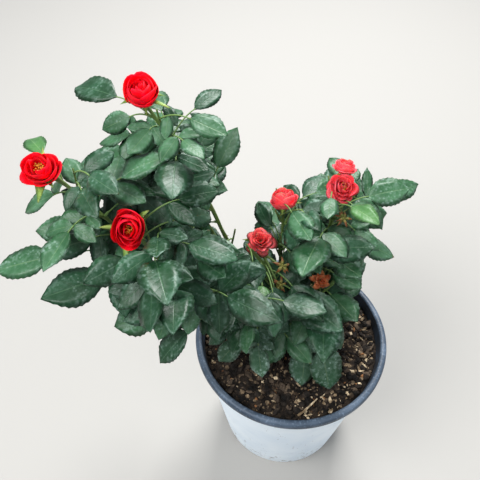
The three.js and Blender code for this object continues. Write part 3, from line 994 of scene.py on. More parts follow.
class Edit:
    """Modelling of one object with Blender's own operators."""

    @staticmethod
    def start() -> None:
        """Deselects everything before a primitive is added."""
        if bpy.context.object and bpy.context.object.mode != "OBJECT":
            bpy.ops.object.mode_set(mode="OBJECT")
        bpy.ops.object.select_all(action="DESELECT")

    @staticmethod
    def enter() -> None:
        """Opens the active object for editing, with all of it selected."""
        bpy.ops.object.mode_set(mode="EDIT")
        bpy.ops.mesh.select_all(action="SELECT")

    @staticmethod
    def leave() -> None:
        """Turns all faces outwards, and ends the editing."""
        bpy.ops.mesh.select_all(action="SELECT")
        bpy.ops.mesh.normals_make_consistent(inside=False)
        bpy.ops.object.mode_set(mode="OBJECT")

    @staticmethod
    def disc(sides: int, radius: float, place: Vec) -> None:
        """Adds a disc by its radius and middle, and opens it for editing."""
        Edit.start()
        bpy.ops.mesh.primitive_circle_add(
            vertices=sides, radius=radius * MM, fill_type="NGON", location=place * MM
        )
        Edit.enter()

    @staticmethod
    def shade(made: bpy.types.Object, smooth: bool) -> None:
        """Shades all faces smooth or flat."""
        faces = made.data.polygons
        faces.foreach_set("use_smooth", np.full(len(faces), smooth))

    @staticmethod
    def settle(name: str, finishes: Sequence[bpy.types.Material]) -> bpy.types.Object:
        """Puts the active object's place into its mesh, and names and dresses it.

        Args:
            name: the piece's name.
            finishes: the materials of its slots.

        Returns:
            The object.
        """
        made = bpy.context.object
        bpy.ops.object.transform_apply(location=True, rotation=True, scale=True)
        made.name = made.data.name = name
        for finish in finishes:
            made.data.materials.append(finish)
        return made

    @staticmethod
    def apply(made: bpy.types.Object, kind: str, **settings: Any) -> None:
        """Adds a modifier with its settings, and applies it."""
        bpy.context.view_layer.objects.active = made
        modifier = made.modifiers.new(kind.lower(), kind)
        for key, value in settings.items():
            setattr(modifier, key, value)
        bpy.ops.object.modifier_apply(modifier=modifier.name)

    @staticmethod
    def roughen(
        made: bpy.types.Object, lumps: Sequence[tuple[str, float, float]], **settings: Any
    ) -> None:
        """Raises lumps on an object.

        Args:
            made: the object.
            lumps: name, size in metres and depth in millimetres of each kind of lump.
            settings: further settings of the modifier.
        """
        for name, size, depth in lumps:
            texture = bpy.data.textures.new(name, "CLOUDS")
            texture.noise_scale = size
            texture.noise_depth = 2
            Edit.apply(
                made, "DISPLACE", texture=texture, strength=depth * MM, texture_coords="LOCAL",
                **settings,
            )

    @staticmethod
    def follow(profile: Sequence[tuple[float, float]]) -> None:
        """Extrudes the selected disc from ring to ring along a profile.

        Args:
            profile: radius and height of each ring, the first one being the disc's own.
        """
        for (radius, height), (wider, higher) in zip(profile, profile[1:]):
            bpy.ops.mesh.extrude_region_move(
                TRANSFORM_OT_translate={"value": (0, 0, (higher - height) * MM)}
            )
            if abs(wider - radius) > 1e-6:
                bpy.ops.transform.resize(value=(wider / radius, wider / radius, 1))


# ---------------------------------------------------------------- shader maths

Colour = tuple[float, float, float]


class Value:
    """A shader socket that Python's operators work on."""

    def __init__(self, graph: "Graph", socket: bpy.types.NodeSocket) -> None:
        """Wraps a socket."""
        self.graph, self.socket = graph, socket

    def _with(self, operation: str, *others: Any) -> "Value":
        """Adds a Math node on this value and others."""
        return self.graph.math(operation, self, *others)

    def __add__(self, other: Any) -> "Value":
        """This plus other."""
        return self._with("ADD", other)

    def __radd__(self, other: Any) -> "Value":
        """Other plus this."""
        return self._with("ADD", other)

    def __sub__(self, other: Any) -> "Value":
        """This minus other."""
        return self._with("SUBTRACT", other)

    def __rsub__(self, other: Any) -> "Value":
        """Other minus this."""
        return self.graph.math("SUBTRACT", other, self)

    def __mul__(self, other: Any) -> "Value":
        """This times other."""
        return self._with("MULTIPLY", other)

    def __rmul__(self, other: Any) -> "Value":
        """Other times this."""
        return self._with("MULTIPLY", other)

    def __pow__(self, other: Any) -> "Value":
        """This to the power of other."""
        return self._with("POWER", other)

    def __abs__(self) -> "Value":
        """This without its sign."""
        return self._with("ABSOLUTE")

    def sine(self) -> "Value":
        """The sine of this."""
        return self._with("SINE")

    def least(self, other: Any) -> "Value":
        """The smaller of this and other."""
        return self._with("MINIMUM", other)

    def step(self, low: float, high: float) -> "Value":
        """A soft step from 0 at low to 1 at high. It falls where low is above high."""
        ends = (0.0, 1.0) if low < high else (1.0, 0.0)
        node = self.graph.node(
            "ShaderNodeMapRange",
            {"interpolation_type": "SMOOTHSTEP"},
            {0: self, 1: min(low, high), 2: max(low, high), 3: ends[0], 4: ends[1]},
        )
        return Value(self.graph, node.outputs[0])


class Graph:
    """One material's nodes."""

    def __init__(self, name: str, gloss: float, **constants: Any) -> None:
        """Starts a material.

        Args:
            name: its name.
            gloss: its specular level.
            constants: values set on the shader's own sockets, with _ for a space.
        """
        self.material = bpy.data.materials.new(name)
        self.material.use_nodes = True
        self.tree = self.material.node_tree
        self.shader = self.tree.nodes["Principled BSDF"]
        self.shader.inputs["Specular IOR Level"].default_value = gloss
        for key, value in constants.items():
            self.shader.inputs[key.replace("_", " ")].default_value = value

    def node(self, kind: str, settings: dict[str, Any], inputs: dict[Any, Any]) -> bpy.types.Node:
        """Adds a node.

        Args:
            kind: its type.
            settings: its own settings, set first.
            inputs: values or links of its sockets, by name or number.

        Returns:
            The node.
        """
        made = self.tree.nodes.new(kind)
        for key, value in settings.items():
            setattr(made, key, value)
        for key, value in inputs.items():
            if isinstance(value, Value):
                self.tree.links.new(value.socket, made.inputs[key])
            else:
                made.inputs[key].default_value = value
        return made

    def math(self, operation: str, *values: Any) -> Value:
        """Adds a Math node."""
        node = self.node("ShaderNodeMath", {"operation": operation}, dict(enumerate(values)))
        return Value(self, node.outputs[0])

    def place(self) -> Value:
        """The place on the object, in metres."""
        node = self.node("ShaderNodeTexCoord", {}, {})
        return Value(self, node.outputs["Object"])

    def own(self) -> tuple[Value, Value]:
        """The piece's own pattern, along and across."""
        node = self.node("ShaderNodeUVMap", {"uv_map": Stock.UV}, {})
        return self.parts(Value(self, node.outputs[0]))[:2]

    def joined(self, x: Value, y: Value) -> Value:
        """Joins two numbers into a place for a pattern."""
        return Value(self, self.node("ShaderNodeCombineXYZ", {}, {0: x, 1: y}).outputs[0])

    def parts(self, vector: Value) -> tuple[Value, Value, Value]:
        """The three numbers of a vector."""
        split = self.node("ShaderNodeSeparateXYZ", {}, {0: vector})
        return tuple(Value(self, split.outputs[i]) for i in range(3))

    def stretched(self, vector: Value, scale: Colour) -> Value:
        """A vector stretched along its axes."""
        node = self.node("ShaderNodeVectorMath", {"operation": "MULTIPLY"}, {0: vector, 1: scale})
        return Value(self, node.outputs[0])

    def noise(self, scale: float, detail: float = 3, vector: Optional[Value] = None) -> Value:
        """Soft noise between 0 and 1 at a scale per metre."""
        inputs = {"Vector": vector or self.place(), "Scale": scale, "Detail": detail}
        return Value(self, self.node("ShaderNodeTexNoise", {}, inputs).outputs["Fac"])

    def cells(self, scale: float) -> Value:
        """The distance to the middle of the nearest cell, at a scale per metre."""
        inputs = {"Vector": self.place(), "Scale": scale}
        return Value(self, self.node("ShaderNodeTexVoronoi", {}, inputs).outputs["Distance"])

    def spots(self, scale: float, detail: float, low: float, high: float) -> Value:
        """Soft spots: noise above a soft step from low to high."""
        return self.noise(scale, detail).step(low, high)

    def blend(self, factor: Any, first: Any, second: Any) -> Value:
        """A colour between two others."""
        first, second = ((*c, 1) if isinstance(c, tuple) else c for c in (first, second))
        inputs = {0: factor, 6: first, 7: second}
        return Value(self, self.node("ShaderNodeMix", {"data_type": "RGBA"}, inputs).outputs[2])

    def finished(
        self, colour: Value, roughness: Value, height: Value, depth: float, strength: float
    ) -> bpy.types.Material:
        """Feeds the shader, and hands over the material.

        Args:
            colour: the base colour.
            roughness: the roughness.
            height: the relief, as shares of its depth.
            depth: the relief's depth in millimetres.
            strength: how strongly the relief shows.

        Returns:
            The material.
        """
        inputs = {"Height": height, "Distance": depth * MM, "Strength": strength}
        normal = Value(self, self.node("ShaderNodeBump", {}, inputs).outputs[0])
        for name, value in (("Base Color", colour), ("Roughness", roughness), ("Normal", normal)):
            self.tree.links.new(value.socket, self.shader.inputs[name])
        return self.material


# ---------------------------------------------------------------- finishes


@dataclass(frozen=True)
class PotFinish:
    """White paint over slate-grey plastic: the lip and the inside are left bare, the inside painted
    darker than the lip as painted shade.
    """

    paint: Colour = (0.84, 0.92, 0.98)
    shade: Colour = (0.73, 0.83, 0.92)
    lip: Colour = (0.034, 0.053, 0.08)
    # Lighter slate: wear spots, and a band round the lip's top that is part wear, part painted
    # highlight
    lip_wear_and_highlight: Colour = (0.13, 0.18, 0.25)
    # The bare plastic inside the rim, painted darker than the lip's: painted shade
    inside: Colour = (0.022, 0.026, 0.032)
    dirt: Colour = (0.13, 0.095, 0.07)
    # Heights in metres between which the paint ends, the painted shade inside ends, and splashes
    # fade
    paint_edge: tuple[float, float] = (0.2235, 0.2255)
    shaded_inside_top: tuple[float, float] = (0.2375, 0.2335)
    splashed: tuple[float, float] = (0.07, 0.0)

    def material(self) -> bpy.types.Material:
        """Makes the material."""
        g = Graph("pot_paint", 0.35)
        place = g.place()
        x, y, z = g.parts(place)
        radius = (x * x + y * y) ** 0.5
        wander = g.noise(40, 3)
        bare = (z + (wander - 0.5) * 0.003).step(*self.paint_edge)
        taper = (POT.shoulder_radius - POT.base_radius) / (POT.height - POT.lip_depth)
        wall_inside = (POT.base_radius - 1.2) * MM + z * taper
        # The wall inside the rim, below the lip's edge, which gets the painted shade
        inner = (radius - wall_inside).step(0.0004, -0.0004) * z.step(*self.shaded_inside_top)
        patches = g.noise(14, 4)
        paint = g.blend(patches.step(0.35, 0.7), self.paint, self.shade)
        specks = g.cells(150).step(0.16, 0.09) * g.spots(30, 2, 0.5, 0.62)
        splash = g.spots(110, 5, 0.58, 0.66) * z.step(*self.splashed) * 0.8
        scuffs = g.noise(90, 2, g.stretched(place, (1, 1, 0.18))).step(0.66, 0.76) * 0.25
        dirty = (specks * 0.75 + splash + scuffs).least(0.9)
        paint = g.blend(dirty, paint, self.dirt)
        wear_and_highlight = g.spots(28, 5, 0.42, 0.7) * 0.5 + g.spots(330, 3, 0.55, 0.66) * 0.5
        # A lighter band round the lip's top: part wear, part painted highlight
        wear_and_highlight = wear_and_highlight + (radius.step(0.122, 0.1295) * z.step(0.2345, 0.2368)) * 0.2
        colour = g.blend(bare, paint, g.blend(wear_and_highlight, self.lip, self.lip_wear_and_highlight))
        # Inside the rim: painted shade over the plastic, in spots of the lip's own colour
        within = g.blend(g.spots(60, 4, 0.4, 0.7), self.inside, self.lip)
        roughness = 0.62 - bare * 0.14 + dirty * 0.2 + (patches - 0.5) * 0.12
        height = g.noise(260, 4) * 0.6 + dirty * 0.5 + wander * 0.4
        return g.finished(g.blend(inner, colour, within), roughness, height, 0.35, 0.5)


@dataclass(frozen=True)
class SoilFinish:
    """Dark damp compost, with paler crumbs."""

    damp: Colour = (0.006, 0.0045, 0.0035)
    dry: Colour = (0.034, 0.024, 0.017)
    crumb: Colour = (0.17, 0.115, 0.07)

    def material(self) -> bpy.types.Material:
        """Makes the material."""
        g = Graph("soil_compost", 0.2)
        colour = g.blend(g.spots(55, 6, 0.35, 0.7), self.damp, self.dry)
        crumbs = g.cells(420).step(0.3, 0.18) * g.spots(160, 2, 0.5, 0.62)
        height = g.noise(300, 8) + (1 - g.cells(240)) * 0.8 + g.noise(900, 4) * 0.4
        colour = g.blend(crumbs * 0.8, colour, self.crumb)
        return g.finished(colour, 0.8 + g.noise(80, 3) * 0.2, height, 1.6, 0.9)


@dataclass(frozen=True)
class ChipFinish:
    """Bark chips and fibres in the compost."""

    name: str
    dark: Colour
    pale: Colour

    def material(self) -> bpy.types.Material:
        """Makes the material."""
        g = Graph(self.name, 0.25)
        grain = g.noise(700, 3, g.stretched(g.place(), (1, 0.2, 1)))
        colour = g.blend(g.spots(75, 2, 0.36, 0.66), self.dark, self.pale)
        colour = g.blend(grain.step(0.45, 0.7) * 0.6, colour, self.dark)
        return g.finished(colour, 0.72 + grain * 0.22, grain, 0.4, 0.7)


@dataclass(frozen=True)
class BarkFinish:
    """Green bark that turns reddish brown in places, with pale pores."""

    name: str
    young: Colour
    old: Colour
    pore: Colour
    age: float
    relief_mm: float

    def material(self) -> bpy.types.Material:
        """Makes the material."""
        g = Graph(self.name, 0.4)
        along, around = g.own()
        weather = (g.noise(26, 4) + g.noise(120, 2) * 0.35).step(0.78 - self.age, 1.02 - self.age)
        streaks = g.noise(6, 3, g.joined(along * 3.0, around * 9.0))
        colour = g.blend(weather, self.young, self.old)
        colour = g.blend(streaks.step(0.5, 0.75) * 0.4, colour, self.old)
        pores = g.cells(430).step(0.2, 0.12) * g.spots(90, 2, 0.45, 0.6)
        colour = g.blend(pores * 0.7, colour, self.pore)
        height = streaks * 0.8 + pores * 0.6 + g.noise(500, 4) * 0.5
        return g.finished(colour, 0.5 + weather * 0.25, height, self.relief_mm, 0.8)


class LeafTint(Enum):
    """The plain base colours that are dealt out to the leaves."""

    # A darker green: partly the leaves' own tone, partly painted shade for sprays that stand in
    # shade
    DEEP = "deep"
    GREEN = "green"
    FRESH = "fresh"
    DUSTY = "dusty"


@dataclass(frozen=True)
class LeafFinish:
    """A leaf's face: fine veins, blotches, a satin sheen, and a greyish film towards its edges,
    part spray residue and part painted sheen.
    """

    tint: LeafTint
    base: Colour
    light: Colour
    vein: Colour
    # How much pale film a tint has, and its colour: partly spray residue, partly painted sheen
    residue_and_sheen: float
    residue_and_sheen_colour: Colour = (0.26, 0.375, 0.32)
    burnt: Colour = (0.24, 0.15, 0.035)

    @staticmethod
    def _veins(g: Graph) -> tuple[Value, Value, Value, Value]:
        """The place along a leaflet and off its midrib, the swell between veins, the midrib."""
        along, across = g.own()
        side = abs(across - 0.5) * 2
        wave = abs(((along - side * 0.26) * 8.0 * math.pi).sine())
        return along, side, wave, side.step(0.055, 0.012)

    def material(self) -> bpy.types.Material:
        """Makes the material of the face."""
        g = Graph(f"leaf_{self.tint.value}", 0.34)
        along, side, wave, midrib = self._veins(g)
        fade = side.step(1.0, 0.6) * along.step(0.02, 0.14)
        vein = (1 - wave).step(0.86, 0.99) * fade
        blotch, fine = g.noise(30, 4), g.noise(420, 3)
        colour = g.blend(blotch.step(0.36, 0.66), self.base, self.light)
        colour = g.blend((1 - wave).step(0.3, 0.9) * 0.16, colour, self.base)
        colour = g.blend((vein * 0.16 + midrib * 0.5).least(0.6), colour, self.vein)
        # Towards the edges and tips, pale bluish patches: partly spray residue, partly painted
        # sheen; the fine specks are residue
        edge = (side * 0.7 + along * 0.4 + (g.noise(48, 3) - 0.5) * 1.1).step(0.45, 1.1)
        specks = g.cells(230).step(0.36, 0.2) * g.spots(60, 2, 0.42, 0.58)
        residue_and_sheen_patches = g.spots(240, 4, 0.44, 0.6) * (g.spots(60, 3, 0.38, 0.6) * 0.7 + 0.3)
        residue_and_sheen = ((edge * 0.8 + 0.2) * residue_and_sheen_patches + specks * 0.55) * self.residue_and_sheen
        colour = g.blend(residue_and_sheen.least(0.8), colour, self.residue_and_sheen_colour)
        # A paler band along the margin: painted highlight where the edges catch light
        colour = g.blend(side.step(0.9, 0.99) * 0.3, colour, self.vein)
        tip = (along + (fine - 0.5) * 0.2).step(0.94, 1.02) * g.spots(22, 1, 0.62, 0.68)
        colour = g.blend(tip * 0.8, colour, self.burnt)
        roughness = 0.3 + blotch * 0.14 + fine * 0.08 + residue_and_sheen * 0.2
        height = wave * (1 - side * 0.4) * 0.2 + g.noise(130, 3) * 1.1
        height = height - midrib * 0.4 - vein * 0.12 + fine * 0.16
        return g.finished(colour, roughness, height, 0.55, 0.6)

    def underside(self) -> bpy.types.Material:
        """Makes the material of the underside: paler, matt, with raised veins."""
        g = Graph(f"leaf_{self.tint.value}_under", 0.3)
        _, _, wave, midrib = self._veins(g)
        pale = tuple(mix(c, 0.16, 0.22) for c in self.base)
        colour = g.blend(g.spots(60, 3, 0.4, 0.7), pale, self.light)
        veins = ((1 - wave).step(0.7, 1) * 0.25 + midrib * 0.5).least(0.7)
        colour, height = g.blend(veins, colour, self.vein), midrib * 0.8 + (1 - wave) * 0.4
        return g.finished(colour, 0.62 + g.noise(300, 3) * 0.16, height, 0.6, 0.6)


@dataclass(frozen=True)
class PetalFinish:
    """A velvety petal: fine veins along it, a paler claw and a darker edge."""

    name: str
    body: Colour
    deep: Colour
    edge: Colour
    claw: Colour
    edge_from: float = 0.86
    spots: float = 0.0
    claw_reach: float = 0.22
    spot: Colour = (0.09, 0.04, 0.018)

    def material(self) -> bpy.types.Material:
        """Makes the material."""
        g = Graph(self.name, 0.12, Sheen_Weight=0.06, Sheen_Roughness=0.4,
                  Subsurface_Weight=0.35, Subsurface_Scale=0.004)
        along, across = g.own()
        fine = g.noise(9, 3, g.joined(along * 0.5, across * 7.0))
        blotch = g.noise(70, 3)
        colour = g.blend(blotch.step(0.35, 0.68), self.body, self.deep)
        colour = g.blend(fine.step(0.48, 0.7) * 0.35, colour, self.deep)
        rim = (along + (blotch - 0.5) * 0.12).step(self.edge_from, 1.02)
        colour = g.blend(rim * 0.75, colour, self.edge)
        colour = g.blend(along.step(self.claw_reach, 0.04), colour, self.claw)
        if self.spots:
            colour = g.blend(g.spots(120, 4, 0.55, 0.66) * self.spots, colour, self.spot)
        height = fine * 0.8 + g.noise(300, 3) * 0.3
        return g.finished(colour, 0.46 + fine * 0.2, height, 0.35, 0.5)


@dataclass(frozen=True)
class SmoothGreenFinish:
    """Sepals, calyces and bracts: yellow-green, browner in places."""

    name: str
    body: Colour
    pale: Colour
    brown: Colour
    browning: float

    def material(self) -> bpy.types.Material:
        """Makes the material."""
        g = Graph(self.name, 0.4)
        along, across = g.own()
        blotch = g.noise(90, 3)
        ribs = abs(((across - 0.5) * 26.0).sine())
        colour = g.blend(blotch.step(0.35, 0.7), self.body, self.pale)
        colour = g.blend(ribs.step(0.6, 1) * 0.25, colour, self.body)
        dry = (along * self.browning + blotch * 0.6).step(0.62, 0.95)
        height = ribs * 0.5 + g.noise(500, 3) * 0.4
        return g.finished(g.blend(dry, colour, self.brown), 0.42 + blotch * 0.2, height, 0.3, 0.6)


@dataclass(frozen=True)
class PollenFinish:
    """Stamens: yellow anthers, grainy with pollen."""

    body: Colour = (0.75, 0.42, 0.05)
    shade: Colour = (0.42, 0.2, 0.03)

    def material(self) -> bpy.types.Material:
        """Makes the material."""
        g = Graph("pollen", 0.2)
        grain = g.noise(1400, 2)
        colour = g.blend(grain.step(0.4, 0.66), self.body, self.shade)
        return g.finished(colour, 0.7 + grain * 0.2, grain, 0.2, 0.6)


BARKS = (
    BarkFinish(
        "stem_bark", (0.14, 0.11, 0.055), (0.085, 0.055, 0.035), (0.24, 0.2, 0.13), 0.3, 1.2),
    BarkFinish("cane_bark", (0.1, 0.16, 0.035), (0.13, 0.07, 0.03), (0.26, 0.26, 0.12), 0.12, 0.5),
    BarkFinish("twig_bark", (0.11, 0.19, 0.045), (0.16, 0.07, 0.035), (0.24, 0.28, 0.12), 0.0, 0.3),
    BarkFinish("prickle", (0.2, 0.1, 0.045), (0.14, 0.05, 0.025), (0.3, 0.2, 0.1), 0.2, 0.2),
    BarkFinish("leaf_stalk", (0.12, 0.22, 0.06), (0.15, 0.09, 0.04), (0.22, 0.28, 0.12), -0.1, 0.2),
)
LEAF_FINISHES = (
    # The deep tint is a darker green, partly painted shade
    LeafFinish(
        LeafTint.DEEP, (0.008, 0.04, 0.014), (0.016, 0.068, 0.03), (0.05, 0.12, 0.056), 0.36),
    LeafFinish(
        LeafTint.GREEN, (0.019, 0.078, 0.028), (0.043, 0.128, 0.056), (0.1, 0.19, 0.08), 0.42),
    LeafFinish(
        LeafTint.FRESH, (0.028, 0.1, 0.027), (0.06, 0.165, 0.043), (0.15, 0.27, 0.1), 0.12),
    LeafFinish(
        LeafTint.DUSTY, (0.018, 0.062, 0.027), (0.042, 0.102, 0.055), (0.1, 0.16, 0.08), 0.75),
)
PETAL_FINISHES = (
    PetalFinish("petal_red", (1.0, 0.001, 0.022), (0.86, 0.001, 0.012), (0.7, 0.001, 0.01),
                (0.8, 0.3, 0.06)),
    PetalFinish("petal_coral", (1.0, 0.14, 0.17), (0.86, 0.06, 0.085), (0.3, 0.012, 0.018),
                (0.75, 0.4, 0.2), edge_from=0.84, spots=0.35),
    PetalFinish("petal_wilted", (1.0, 0.15, 0.17), (0.98, 0.11, 0.12), (0.5, 0.05, 0.03),
                (0.2, 0.08, 0.025), edge_from=0.78, spots=0.55, claw_reach=0.5),
    PetalFinish("petal_dried", (1.0, 0.34, 0.15), (0.55, 0.13, 0.05), (0.24, 0.06, 0.025),
                (0.4, 0.2, 0.08), edge_from=0.7, spots=0.5),
)
CALYX_FINISHES = (
    SmoothGreenFinish("calyx", (0.13, 0.25, 0.04), (0.34, 0.46, 0.1), (0.2, 0.12, 0.04), 0.45),
    SmoothGreenFinish(
        "calyx_dry", (0.18, 0.2, 0.04), (0.38, 0.32, 0.08), (0.24, 0.085, 0.025), 1.15),
)

# ---------------------------------------------------------------- pieces


def place_piece(made: bpy.types.Object, nodes: Sequence[str] = ()) -> None:
    """Makes a piece ride and the nodes that it stands for, and reports it.

    Args:
        made: the piece.
        nodes: CAD nodes that it replaces.
    """
    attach(made, BODY)
    if nodes:
        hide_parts(*nodes)
    log.info("%s: %d faces", made.name, len(made.data.polygons))


@dataclass
class Pot:
    """The tapered pot, with its thick rolled lip."""

    sizes: PotSizes = POT
    sides: int = 128
    foot_round: float = 1.6
    under_round: float = 2.6
    brow_round: float = 4.2
    edge_round: float = 3.2
    corner: float = 1.5

    def profile(self) -> list[tuple[float, float]]:
        """Radius and height of each ring, from the underside over the lip to the inner floor."""
        s, quarter = self.sizes, math.pi / 2
        foot, roll, brow, edge = self.foot_round, self.under_round, self.brow_round, self.edge_round
        under, outer = s.height - s.lip_depth, s.rim_radius
        inner = outer - s.lip_width
        rings = [(s.base_radius - foot, 0.0)]
        for a in (0.5, 1.05, quarter):
            rings.append((s.base_radius - foot + foot * math.sin(a), foot * (1 - math.cos(a))))
        rings += [(s.outer_radius(z), z) for z in (30, 75, 120, 165, 200, 216, under - 1.2)]
        rings.append((s.outer_radius(under) + 0.5, under))
        for a in (0.0, 0.55, 1.1, quarter):
            rise = under + roll * (1 - math.cos(a)) + 0.05
            rings.append((outer - roll + roll * math.sin(a), rise))
        for a in (0.0, 0.45, 0.9, 1.25, quarter):
            rings.append((outer - brow + brow * math.cos(a), s.height - brow + brow * math.sin(a)))
        for a in (0.0, 0.5, 1.0, quarter):
            rings.append((inner + edge - edge * math.sin(a), s.height - edge + edge * math.cos(a)))
        rings.append((inner - 0.2, s.height - 8))
        heights = (under - 2, 190, 120, 60, s.floor + self.corner)
        rings += [(s.inner_radius(z), z) for z in heights]
        rings.append((s.inner_radius(s.floor) - self.corner, s.floor))
        return rings

    def build(self) -> None:
        """Models the pot from a disc, ring by ring."""
        rings = self.profile()
        Edit.disc(self.sides, rings[0][0], Vec(0, 0, 0))
        Edit.follow(rings)
        bpy.ops.mesh.inset(thickness=0.02)
        Edit.leave()
        made = Edit.settle("flowerpot", [PotFinish().material()])
        bpy.ops.object.shade_smooth_by_angle(angle=math.radians(40))
        place_piece(made, ["pot"])


Form = tuple[np.ndarray, list[tuple[int, ...]]]


@dataclass(frozen=True)
class Strewn:
    """One kind of chips or crumbs: its name, number and sizes, and its darkest and palest colour.

    Clods are lumps instead of chips, and drift is the share that lies on the right.
    """

    name: str
    count: int
    small: float
    large: float
    dark: Colour
    pale: Colour
    clods: bool = False
    drift: float = 0.0


STREWN = (
    Strewn("crumbs_black", 1300, 3.0, 10.0, (0.003, 0.0025, 0.002), (0.026, 0.019, 0.014), True),
    Strewn("crumbs_brown", 800, 2.4, 8.0, (0.034, 0.022, 0.013), (0.3, 0.215, 0.13), True, 0.3),
    Strewn("chips_tan", 640, 2.0, 9.0, (0.16, 0.11, 0.06), (0.8, 0.64, 0.42), drift=0.66),
    Strewn("chips_russet", 170, 2.4, 8.5, (0.12, 0.05, 0.02), (0.32, 0.15, 0.06)),
    Strewn("chips_dark", 500, 4.0, 15.0, (0.014, 0.01, 0.008), (0.11, 0.078, 0.052)),
)


@dataclass
class Soil:
    """The compost: a lumpy top with crumbs, bark chips and a stick."""

    sides: int = 112
    rings: int = 22
    stick: tuple[Vec, Vec] = (Vec(3.6, -112, 227), Vec(29, -91, 230))
    stick_radius: float = 1.5
    chip_shape: tuple[float, float, float] = (1.0, 0.46, 0.2)
    clod_shape: tuple[float, float, float] = (1.0, 0.75, 0.55)
    clod_seeds: tuple[int, int] = (3, 8)
    seed: int = 41
    # Most chips are small, and they keep off the pot's wall and the stem
    mostly_small: float = 2.4
    edge_margin: float = 4
    stem_margin: float = 2

    LUMPS = (("lumps", 0.034, 5.0), ("clods", 0.01, 6.0), ("crumbs", 0.0042, 3.4))
    # A place and a direction of each cut across a chip
    CUTS = (((0.34, 0.1, 0), (0.8, 0.6, 0.2)), ((-0.38, -0.08, 0), (-0.7, -0.6, 0.3)))
    # How far a chip turns either way about each axis
    SPINS = (0.6, 0.6, math.pi)

    def build(self) -> None:
        """Models the body of compost, then strews chips on it."""
        bottom, edge = POT.floor + GAP, POT.height - SOIL.edge_below_rim
        foot, radius = POT.inner_radius(bottom) - GAP, POT.inner_radius(edge) - GAP
        Edit.disc(self.sides, foot, Vec(0, 0, bottom))
        profile = [(foot, bottom), (radius, edge)]
        for ring in range(1, self.rings):
            share = 1 - ring / self.rings
            profile.append((radius * share, mix(SOIL_TOP, edge, share**SOIL.fall)))
        Edit.follow(profile)
        bpy.ops.mesh.poke()
        Edit.leave()
        made = Edit.settle("compost", [SoilFinish().material()])
        self._roughen(made, edge)
        place_piece(made, ["soil"])
        self._strew(made)

    def _roughen(self, made: bpy.types.Object, edge: float) -> None:
        """Subdivides the top, and raises lumps and crumbs on it."""
        Edit.apply(made, "SUBSURF", subdivision_type="SIMPLE", levels=2, render_levels=2)
        top = made.vertex_groups.new(name="top")
        for vertex in made.data.vertices:
            if vertex.co.z > (edge - 0.5) * MM:
                top.add([vertex.index], 1.0, "REPLACE")
        Edit.roughen(made, self.LUMPS, mid_level=0.55, vertex_group=top.name, direction="Z")
        made.vertex_groups.clear()
        Edit.shade(made, True)

    @staticmethod
    def _taken() -> Form:
        """Takes the active object's corners and faces, and removes it."""
        made = bpy.context.object
        places = np.array([v.co for v in made.data.vertices])
        faces = [tuple(p.vertices) for p in made.data.polygons]
        bpy.data.objects.remove(made)
        return places, faces

    def _chip(self) -> Form:
        """Models one chip as by hand.

        Returns:
            Its corners about the origin, with a length of about 1, and its faces.
        """
        Edit.start()
        bpy.ops.mesh.primitive_cube_add(size=1, location=(0, 0, 0))
        Edit.enter()
        bpy.ops.transform.resize(value=self.chip_shape)
        for place, way in self.CUTS:
            bpy.ops.mesh.select_all(action="SELECT")
            bpy.ops.mesh.bisect(plane_co=place, plane_no=way, use_fill=True, clear_outer=True)
        bpy.ops.object.mode_set(mode="OBJECT")
        Edit.apply(bpy.context.object, "BEVEL", width=0.05, segments=1)
        return self._taken()

    def _clod(self, seed: int) -> Form:
        """Models one crumb of compost as by hand.

        Args:
            seed: the seed of its unevenness.

        Returns:
            Its corners about the origin, with a width of about 1, and its faces.
        """
        Edit.start()
        bpy.ops.mesh.primitive_ico_sphere_add(subdivisions=2, radius=0.5, location=(0, 0, 0))
        Edit.enter()
        bpy.ops.transform.vertex_random(offset=0.12, seed=seed)
        bpy.ops.transform.resize(value=self.clod_shape)
        bpy.ops.object.mode_set(mode="OBJECT")
        return self._taken()

    def _strew(self, ground: bpy.types.Object) -> None:
        """Copies chips and crumbs over the compost, each in its own size, and lays the stick."""
        tree = BVHTree.FromPolygons(
            [v.co for v in ground.data.vertices], [p.vertices for p in ground.data.polygons]
        )
        chip, clods = self._chip(), [self._clod(seed) for seed in self.clod_seeds]
        reach = POT.inner_radius(POT.height - SOIL.edge_below_rim) - self.edge_margin
        seeds = np.random.default_rng(self.seed)
        for kind in STREWN:
            stock = Stock()
            forms = clods if kind.clods else [chip]
            for number in range(kind.count):
                radius = reach * math.sqrt(seeds.random())
                angle = seeds.random() * 2 * math.pi
                x, y = radius * math.cos(angle), radius * math.sin(angle)
                if kind.drift and seeds.random() < kind.drift:
                    x = abs(x)
                if math.hypot(x - STEM.x, y - STEM.y) < STEM.flare + self.stem_margin:
                    continue
                hit = tree.ray_cast(Vector((x * MM, y * MM, 1)), Vector((0, 0, -1)))[0]
                if hit is None:
                    continue
                places, faces = forms[number % len(forms)]
                size = mix(kind.small, kind.large, seeds.random() ** self.mostly_small)
                spins = seeds.uniform(-1, 1, 3) * self.SPINS
                wide, thick = size * seeds.uniform(0.6, 1.4), size * seeds.uniform(0.7, 1.5)
                turned = (places * (size, wide, thick)) @ rotation(spins).T
                middle = np.array([x, y, hit.z / MM + size * 0.06])
                stock.add(turned + middle, faces, 0, places[:, :2])
            if kind.name == "chips_tan":
                self._lay_stick(stock)
            made = stock.mesh(kind.name, [ChipFinish(kind.name, kind.dark, kind.pale).material()])
            Edit.shade(made, False)
            place_piece(made)

    def _lay_stick(self, stock: Stock) -> None:
        """Lays a thin dry stick across the compost."""
        start, end = self.stick
        bend = start.toward(end, 0.45) + Vec(0, -3, 2.5)
        shares = evenly(12)
        radii = [self.stick_radius - 0.5 * t + 0.25 * math.sin(t * 19) for t in shares]
        stock.tube(Arc(start, bend, end).places(shares), radii, 8)


